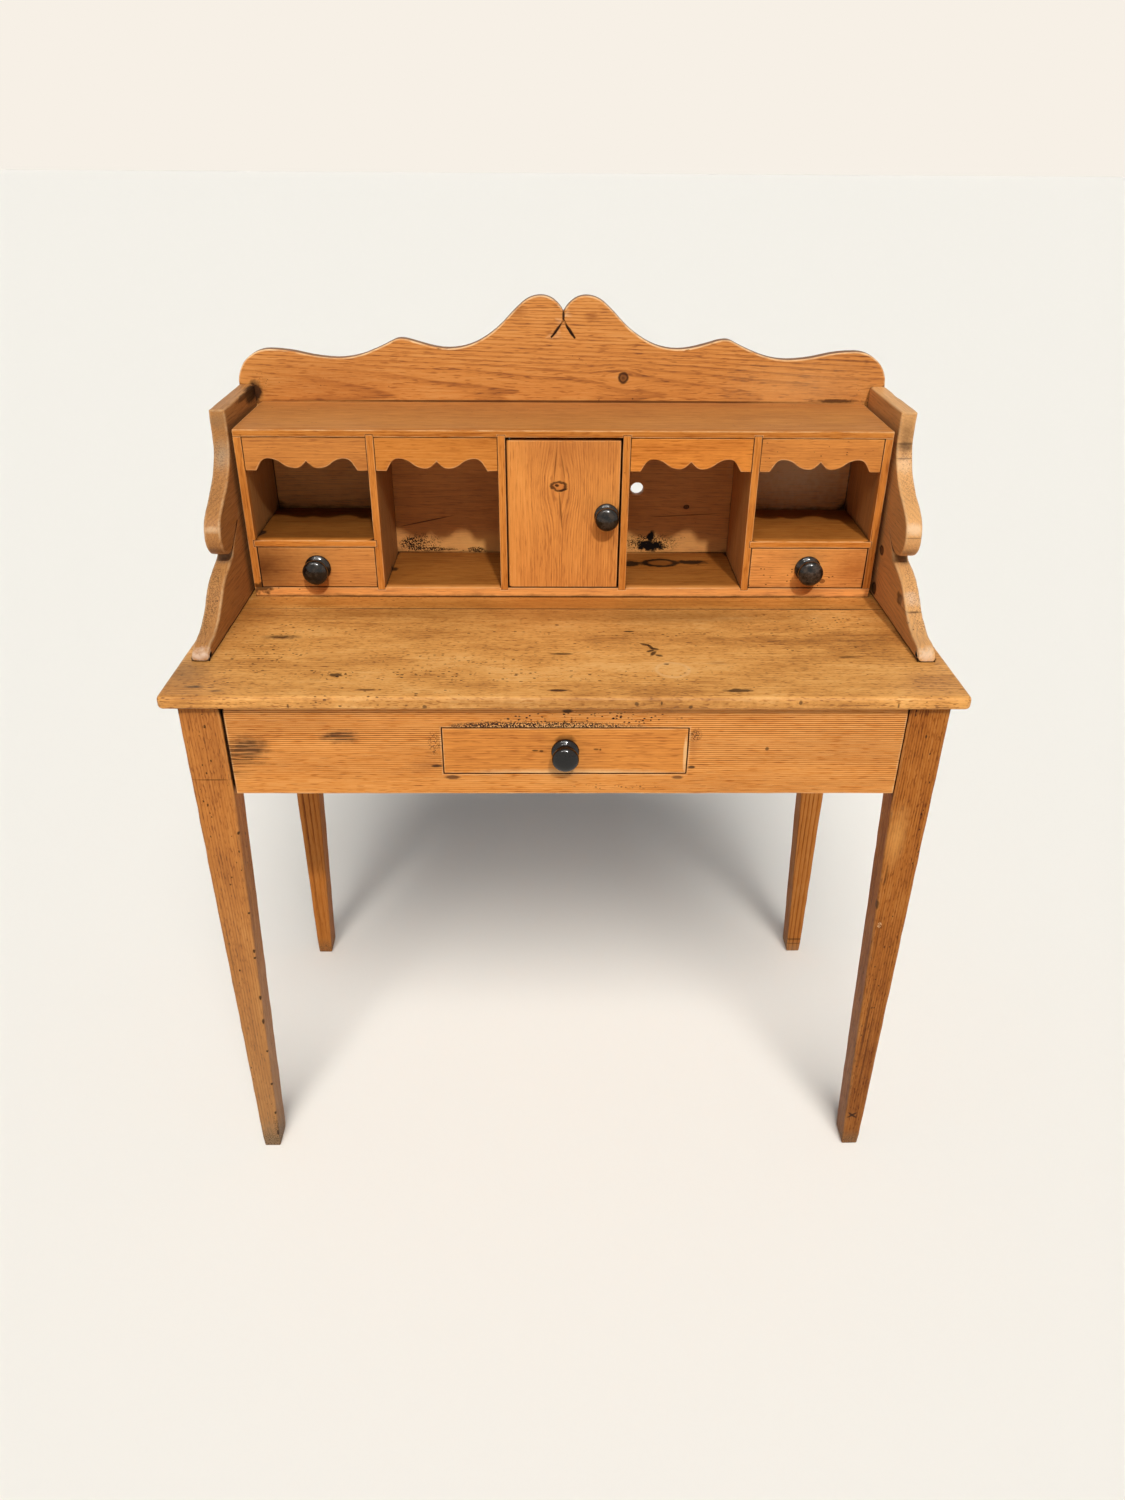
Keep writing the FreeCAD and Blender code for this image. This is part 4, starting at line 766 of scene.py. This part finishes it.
# nest of pigeonholes, its inner faces greyed and darkened with dust and old ink, and with painted shade deep
# in the cells;
# the uprights' lower ends stand tight in their housings
upright = {"grain": "Z", "greyed": 0.02, "innerGreyed": 0.36, "edgeRound": 0.35, "bandMm": 0.7,
           "rubbedAbove": 773}
nest = {
    **thinBoard, "pine": "nestPine", "grain": "X",
    "look": {"rings": 0.1, "ringMm": 3.6, "fibre": 0.52, "strokes": 0.18, "grimeAndShade": 0.9, "sheen": 0.12},
    "boards": {
        "nest_shelf": {"pith": (-90, -40), "tone": 0.86, "innerGreyed": 0.2},
        "nest_base": {"pith": (80, -40), "edgeRound": 0.4, "tone": 1.4, "innerToneAndShade": 0.36,
                      "greyed": 0.26, "innerGreyed": 0.02},
        "nest_back": {"pith": (70, -60), "tilt": (1.5, 1.0), "tone": 1.22, "greyed": 0.34},
        "nest_end_left": {**upright, "pith": (40, 60), "innerToneAndShade": 0.75},
        "nest_end_right": {**upright, "pith": (-40, 60), "innerToneAndShade": 0.95},
        "partition_inner_left": {**upright, "pith": (40, 80), "innerToneAndShade": 0.75},
        "partition_inner_right": {**upright, "pith": (-40, 80), "innerToneAndShade": 0.85},
        "partition_outer_left": {**upright, "pith": (45, 70), "innerToneAndShade": 0.75},
        "partition_outer_right": {**upright, "pith": (-45, 70), "innerToneAndShade": 0.95},
        "half_shelf_left": {"pith": (60, 40), "innerToneAndShade": 0.3},
        "half_shelf_right": {"pith": (65, 40), "innerToneAndShade": 0.5},
        "valance_inner_left": {"pith": (50, -80), "tone": 0.9},
        "valance_inner_right": {"pith": (50, -90), "tone": 1.1},
        "valance_outer_left": {"pith": (50, -85), "greyed": 0.12},
        "valance_outer_right": {"pith": (50, -95), "tone": 1.05, "greyed": 0.1},
        "door_stop": {"grain": "Z", "pith": (30, 30), "tone": 0.7},
    },
    "knots": [
        {"at": (140, 160, 771), "size": (60, 26, 14), "core": (24, 15, 9), "rim": 1.0, "heart": "#6a3a14",
         "amount": 0.6, "eye": 0.0},
        {"at": (178, 202, 840), "size": (18, 14, 9), "core": (4, 8, 3), "heart": "#4a2a14"},
    ],
    "marks": [
        patch(330, 202, 900, 95, 8, 75, hue="#dfc096", amount=0.7, ragged=0.6),
        # painted light: a paler strip low on the cell backs, where the lamp reaches under the valances
        spot(0, 202, 786, 245, 8, 24, hue="#e6ab62", amount=0.7, soft=0.5, ragged=0.3),
        inkBlot(-218, 202, 784, 22, 8, 13, ragged=1.3, speckled=0.44),
        inkBlot(-206, 202, 786, 34, 8, 16, speckled=0.57),
        inkBlot(-190, 202, 776, 38, 8, 4, ragged=1.2, speckled=0.4, amount=0.9),
        inkBlot(-125, 202, 775, 14, 8, 5, ragged=1.4, speckled=0.42, amount=0.95),
        inkBlot(-150, 202, 775, 30, 8, 5, pitted=0.3),
        inkBlot(128, 202, 782, 27, 8, 9.5, ragged=1.5),
        inkBlot(128, 202, 786, 46, 8, 16, speckled=0.52),
        inkBlot(129, 202, 796, 6, 8, 11, ragged=1.4, turn=(0, 20, 0)),
        spot(-239, 133, 771, 8, 8, 8, ragged=1.2),
        spot(96, 157, 771, 26, 13, 8, ragged=1.2, amount=1.0),
        spot(184, 163, 771, 26, 10, 8, ragged=1.2, amount=1.0),
        spot(-405, 63, 771, 14, 10, 12, ragged=1.6, amount=0.8),
        spot(-197, 202, 818, 46, 8, 1.1, turn=(0, -12, 0), ragged=0.4, amount=0.8),
        spot(180, 202, 828, 60, 8, 1.0, turn=(0, -3, 0), ragged=0.4, amount=0.6),
    ],
}
buildBoards(nest)

# drawer fronts
fronts = {
    **thinBoard, "pine": "frontPine", "grain": "X",
    "look": {"rings": 0.16, "fibre": 0.56, "strokes": 0.2, "grimeAndShade": 0.7, "sheen": 0.12,
             "grimeAndShadeHue": "#2a1408"},
    "boards": {
        "main_drawer_front": {"pith": (40, -130), "greyed": 0.06},
        "left_drawer_front": {"pith": (40, -90), "tone": 1.03, "greyed": 0.18},
        "right_drawer_front": {"pith": (40, -100), "tone": 1.2, "greyed": 0.18},
    },
    "knots": [
        {"at": (351, 64, 781), "size": (16, 10, 8), "core": (3.6, 6, 2.8), "heart": "#7d4318", "amount": 0.6,
         "rim": 0.5},
    ],
    "marks": [
        # painted shadow: the left drawer's left end, shaded by the left gallery side
        spot(-402, 64, 799, 70, 8, 56, hue="#55280a", amount=0.88, soft=1.0, ragged=0.25),
        # painted shadow: the right drawer's right end, shaded by the right gallery side
        smudge(395, 64, 799, 45, 8, 34, hue="#99501a", amount=0.55, ragged=0.6),
        spot(5, -221, 652, 140, 6, 6, hue="#e6bd85", amount=0.55, soft=0.7),
        spot(140.5, -221, 678, 2.6, 6, 28, hue="#e6bd85", amount=0.6, soft=0.5, ragged=0.6),
        spot(-35, -221, 681.6, 5, 6, 1.5, ragged=0.8, amount=0.8),
        spot(-28, -221, 681, 3, 6, 1.8, ragged=0.8),
        spot(36, -221, 683.5, 4, 6, 1.4, ragged=0.8, amount=0.75),
        spot(41, -221, 683, 1.6, 6, 1.8, amount=0.7),
        smudge(-33, -221, 700, 12, 6, 8, hue="#a05c28", amount=0.5, ragged=1.0),
        smudge(5, -221, 668, 46, 6, 30, hue="#b5763a", amount=0.35, ragged=0.6),
    ],
}
buildBoards(fronts)

# cupboard door, with one open knot and the fibres parted above and below it
door = {
    **thinBoard, "pine": "doorPine", "grain": "Z",
    "look": {"rings": 0.16, "ringMm": 3.2, "strokes": 0.18, "streak": 0.1, "grimeAndShade": 0.8, "sheen": 0.12,
             "grimeAndShadeHue": "#2a1408"},
    "boards": {"door": {"pith": (-95, 40), "tone": 1.15, "greyed": 0.12}},
    "knots": [
        {"at": (-7, 64, 910), "size": (24, 14, 44), "core": (9.5, 8, 6.5), "heart": "#b5682c", "amount": 0.5,
         "eye": 0.0, "ragged": 1.0},
    ],
    "marks": [
        smudge(0, 64, 956, 90, 8, 34, hue="#a5602c", amount=0.45, ragged=0.4),
        spot(-9, 64, 911, 3.4, 6, 2.4, ragged=0.8, amount=0.9),
        spot(-1, 64, 905, 6.5, 6, 1.9, turn=(0, -18, 0), amount=0.8),
        spot(-11, 64, 938, 1.2, 6, 26, amount=0.6, hue="#5a2a0c", turn=(0, 5, 0)),
        spot(-1, 64, 934, 1.1, 6, 20, amount=0.5, hue="#5a2a0c", turn=(0, -9, 0)),
        spot(-4, 64, 878, 1.4, 6, 30, amount=0.6, hue="#5a2a0c", turn=(0, -5, 0)),
    ],
}
buildBoards(door)

# unpolished boards inside: drawer boxes, runners, kickers, glue strips
hidden = {
    "pine": "barePine", "slot": "bare_pine",
    "edgeRound": 0.6, "edgeWear": 0.3, "bandMm": 1.2, "pitch": 40, "grain": "Y",
    "look": {"deep": "#8d6236", "late": "#b2814a", "early": "#cfa06a", "pale": "#e2bd8d", "roughness": 0.65,
             "grimeAndShade": 0.4, "grimeAndShadeHue": "#6b4a2a"},
    "boards": {},
}
boxParts = (("side_left", "Y"), ("side_right", "Y"), ("back", "X"), ("bottom", "X"))
for drawer in ("main_drawer", "left_drawer", "right_drawer"):
    for index, (part, grainWay) in enumerate(boxParts):
        hidden["boards"][f"{drawer}_{part}"] = {"grain": grainWay, "pith": (40, -60), "seed": 40 + index}
for side in ("left", "right"):
    for part in ("drawer_runner", "drawer_kicker", "glue_strip"):
        hidden["boards"][f"{part}_{side}"] = {"pith": (30, 50), "seed": 50}
buildBoards(hidden)

# knobs: turned hardwood stained black and polished, worn through to grey-brown on the crown
knobs = {
    "main_drawer_knob": {"shine": 0.07, "worn": "#120f0d", "swell": 1.06, "front": "main_drawer_front"},
    "left_drawer_knob": {"shine": 0.11, "worn": "#332a22", "front": "left_drawer_front"},
    "right_drawer_knob": {"shine": 0.12, "worn": "#4a3d33", "front": "right_drawer_front"},
    "door_knob": {"shine": 0.11, "worn": "#3a3028", "front": "door"},
}
# radius as a share of the head's, height as a share of the length
knobProfile = [(0.0, -0.1), (0.9, -0.1), (0.94, 0.0), (0.965, 0.05), (0.96, 0.1), (0.91, 0.15), (0.8, 0.19),
               (0.7, 0.24), (0.64, 0.31), (0.63, 0.39), (0.68, 0.47), (0.78, 0.54), (0.87, 0.61),
               (0.925, 0.69), (0.92, 0.77), (0.87, 0.835), (0.77, 0.89), (0.62, 0.94), (0.42, 0.975),
               (0.2, 0.994), (0.0, 1.0)]


def ebonyMaterial(name, work):
    black = linear("#080606")
    material, add = newMaterial(name)
    place = add("TexCoord", None, "Object")
    cloud = add("TexNoise", {"Vector": place, "Scale": 1 / (8 * mm), "Detail": 6.0, "Roughness": 0.65}, "Fac")
    worn = add("MapRange", {0: cloud, 1: 0.42, 2: 0.66, 3: 0.0, 4: 0.9})
    colour = add("Mix", {mixFactor: worn, mixFirst: black, mixSecond: linear(work["worn"])}, mixResult,
                 data_type="RGBA")
    rough = add("MapRange", {0: cloud, 1: 0.35, 2: 0.65, 3: work["shine"], 4: work["shine"] + 0.12})
    finishMaterial(add, colour, rough, cloud, bumpMm=0.15, sheen=0.42)
    return material


for node, work in knobs.items():
    lo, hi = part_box(node)
    radius = (hi.x - lo.x) / 2 * work.get("swell", 1.0)
    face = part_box(work["front"])[0].y
    length = face - lo.y
    middle = Vector(((lo.x + hi.x) / 2, face, (lo.z + hi.z) / 2))
    bm = bmesh.new()
    rim = [bm.verts.new(middle + Vector((share * radius, -rise * length, 0))) for share, rise in knobProfile]
    edges = [bm.edges.new(pair) for pair in zip(rim, rim[1:])]
    bmesh.ops.spin(bm, geom=rim + edges, cent=middle, axis=(0, 1, 0), dvec=(0, 0, 0), angle=math.tau,
                   steps=56, use_merge=True)
    bmesh.ops.remove_doubles(bm, verts=bm.verts, dist=0.005 * mm)
    bmesh.ops.recalc_face_normals(bm, faces=bm.faces)
    placePiece(node + "_turned", bm, node, ebonyMaterial(node + "Ebony", work))

# door pins: drawn steel wire, dull and a little uneven
steel, add = newMaterial("dullWire")
place = add("TexCoord", None, "Object")
cloud = add("TexNoise", {"Vector": place, "Scale": 1 / (2 * mm), "Detail": 4.0}, "Fac")
rough = add("MapRange", {0: cloud, 1: 0.3, 2: 0.7, 3: 0.35, 4: 0.6})
shader = add("BsdfPrincipled", {"Base Color": linear("#6e6a64"), "Metallic": 1.0, "Roughness": rough})
add("OutputMaterial", {"Surface": shader}, None)
for node in ("door_pin_lower", "door_pin_upper"):
    frame["nodes"][node].data.materials.clear()
    frame["nodes"][node].data.materials.append(steel)
print("knobs and pins done")
gatherDirtAndShade()
print("corners darkened")

# floor, background and light; side is degrees to the right of the front, angle the lamp's own width
ground = {"colour": "#f7f0e6", "reach": 40.0}
light = {
    "ambient": (0.18, 0.2, 0.22, 1.0), "wood": (1.0, 0.976, 0.951), "floor": (0.956, 0.991, 1.0),
    "suns": {
        "keyLight": {"strength": 1.95, "elevation": 45, "side": 12, "angle": 2.5, "falls": "wood"},
        "leftLight": {"strength": 0.45, "elevation": 48, "side": -32, "angle": 9.0, "falls": "wood"},
        "softLight": {"strength": 1.08, "elevation": 54, "side": 0, "angle": 28.0, "falls": "all"},
        "floorLight": {"strength": 2.3, "elevation": 48, "side": 4, "angle": 36.0, "falls": "floor"},
    },
}
cream = linear(ground["colour"])
bm = bmesh.new()
bmesh.ops.create_grid(bm, x_segments=1, y_segments=1, size=ground["reach"])
floorMesh = bpy.data.meshes.new("floor")
bm.to_mesh(floorMesh)
bm.free()
floor = bpy.data.objects.new("floor", floorMesh)
scene.collection.objects.link(floor)
floorPaint, add = newMaterial("paleFloor")
shader = add("BsdfDiffuse", {"Color": cream})
add("OutputMaterial", {"Surface": shader}, None)
floorMesh.materials.append(floorPaint)

scene.world = bpy.data.worlds.new("studio")
scene.world.use_nodes = True
scene.world.node_tree.nodes.clear()
add = partial(addNode, scene.world.node_tree)
ray = add("LightPath", None, None).outputs
seen = add("Math", {0: ray["Is Camera Ray"], 1: ray["Is Glossy Ray"]}, operation="MAXIMUM")
seen = add("Math", {0: seen, 1: ray["Is Transmission Ray"]}, operation="MAXIMUM")
sky = add("Mix", {mixFactor: seen, mixFirst: light["ambient"], mixSecond: cream}, mixResult, data_type="RGBA")
backdrop = add("Background", {"Color": sky, "Strength": 1.0})
add("OutputWorld", {"Surface": backdrop}, None)

# the hard lights fall on the wood alone, and the floor has a wide light of its own, so its shadows stay soft
lit = {"all": None}
for falls, groupName in (("wood", "notFloor"), ("floor", "onlyFloor")):
    lit[falls] = bpy.data.collections.new(groupName)
    lit[falls].objects.link(floor)
lit["wood"].collection_objects[0].light_linking.link_state = "EXCLUDE"


def addSun(name, strength, elevation, side, angle, falls):
    lamp = bpy.data.lights.new(name, "SUN")
    lamp.energy = strength
    lamp.color = light["floor" if falls == "floor" else "wood"]
    lamp.angle = math.radians(angle)
    holder = bpy.data.objects.new(name, lamp)
    up, across = math.radians(elevation), math.radians(side)
    away = Vector((math.sin(across) * math.cos(up), -math.cos(across) * math.cos(up), math.sin(up)))
    holder.rotation_euler = (-away).to_track_quat("-Z", "Y").to_euler()
    holder.location = away * 3
    holder.light_linking.receiver_collection = lit[falls]
    scene.collection.objects.link(holder)


for sunName, sun in light["suns"].items():
    addSun(sunName, **sun)

# camera, solved from the photograph's outlines: place in mm, turns in radians, frame 1125 by 1500 pixels
camera = {"at": (-17.40, -1289.41, 1307.99), "yaw": 0.01325, "pitch": 0.52963, "roll": 0.00694,
          "focalPixels": 1060.57, "framePixels": 1500, "sensor": 36.0, "clip": (0.01, 200)}
yaw, pitch, roll = camera["yaw"], camera["pitch"], camera["roll"]
forward = Vector((math.sin(yaw) * math.cos(pitch), math.cos(yaw) * math.cos(pitch), -math.sin(pitch)))
level = Vector((math.cos(yaw), -math.sin(yaw), 0))
plumb = level.cross(forward)
right = level * math.cos(roll) + plumb * math.sin(roll)
upward = plumb * math.cos(roll) - level * math.sin(roll)
lens = bpy.data.cameras.new("viewer")
lens.sensor_fit = "AUTO"
lens.sensor_width = camera["sensor"]
lens.lens = camera["sensor"] * camera["focalPixels"] / camera["framePixels"]
lens.clip_start, lens.clip_end = camera["clip"]
viewer = bpy.data.objects.new("viewer", lens)
turned = Matrix((right, upward, -forward)).transposed().to_4x4()
turned.translation = Vector(camera["at"]) * mm
viewer.matrix_world = turned
scene.collection.objects.link(viewer)
scene.camera = viewer
print("scene set")

bpy.context.view_layer.update()
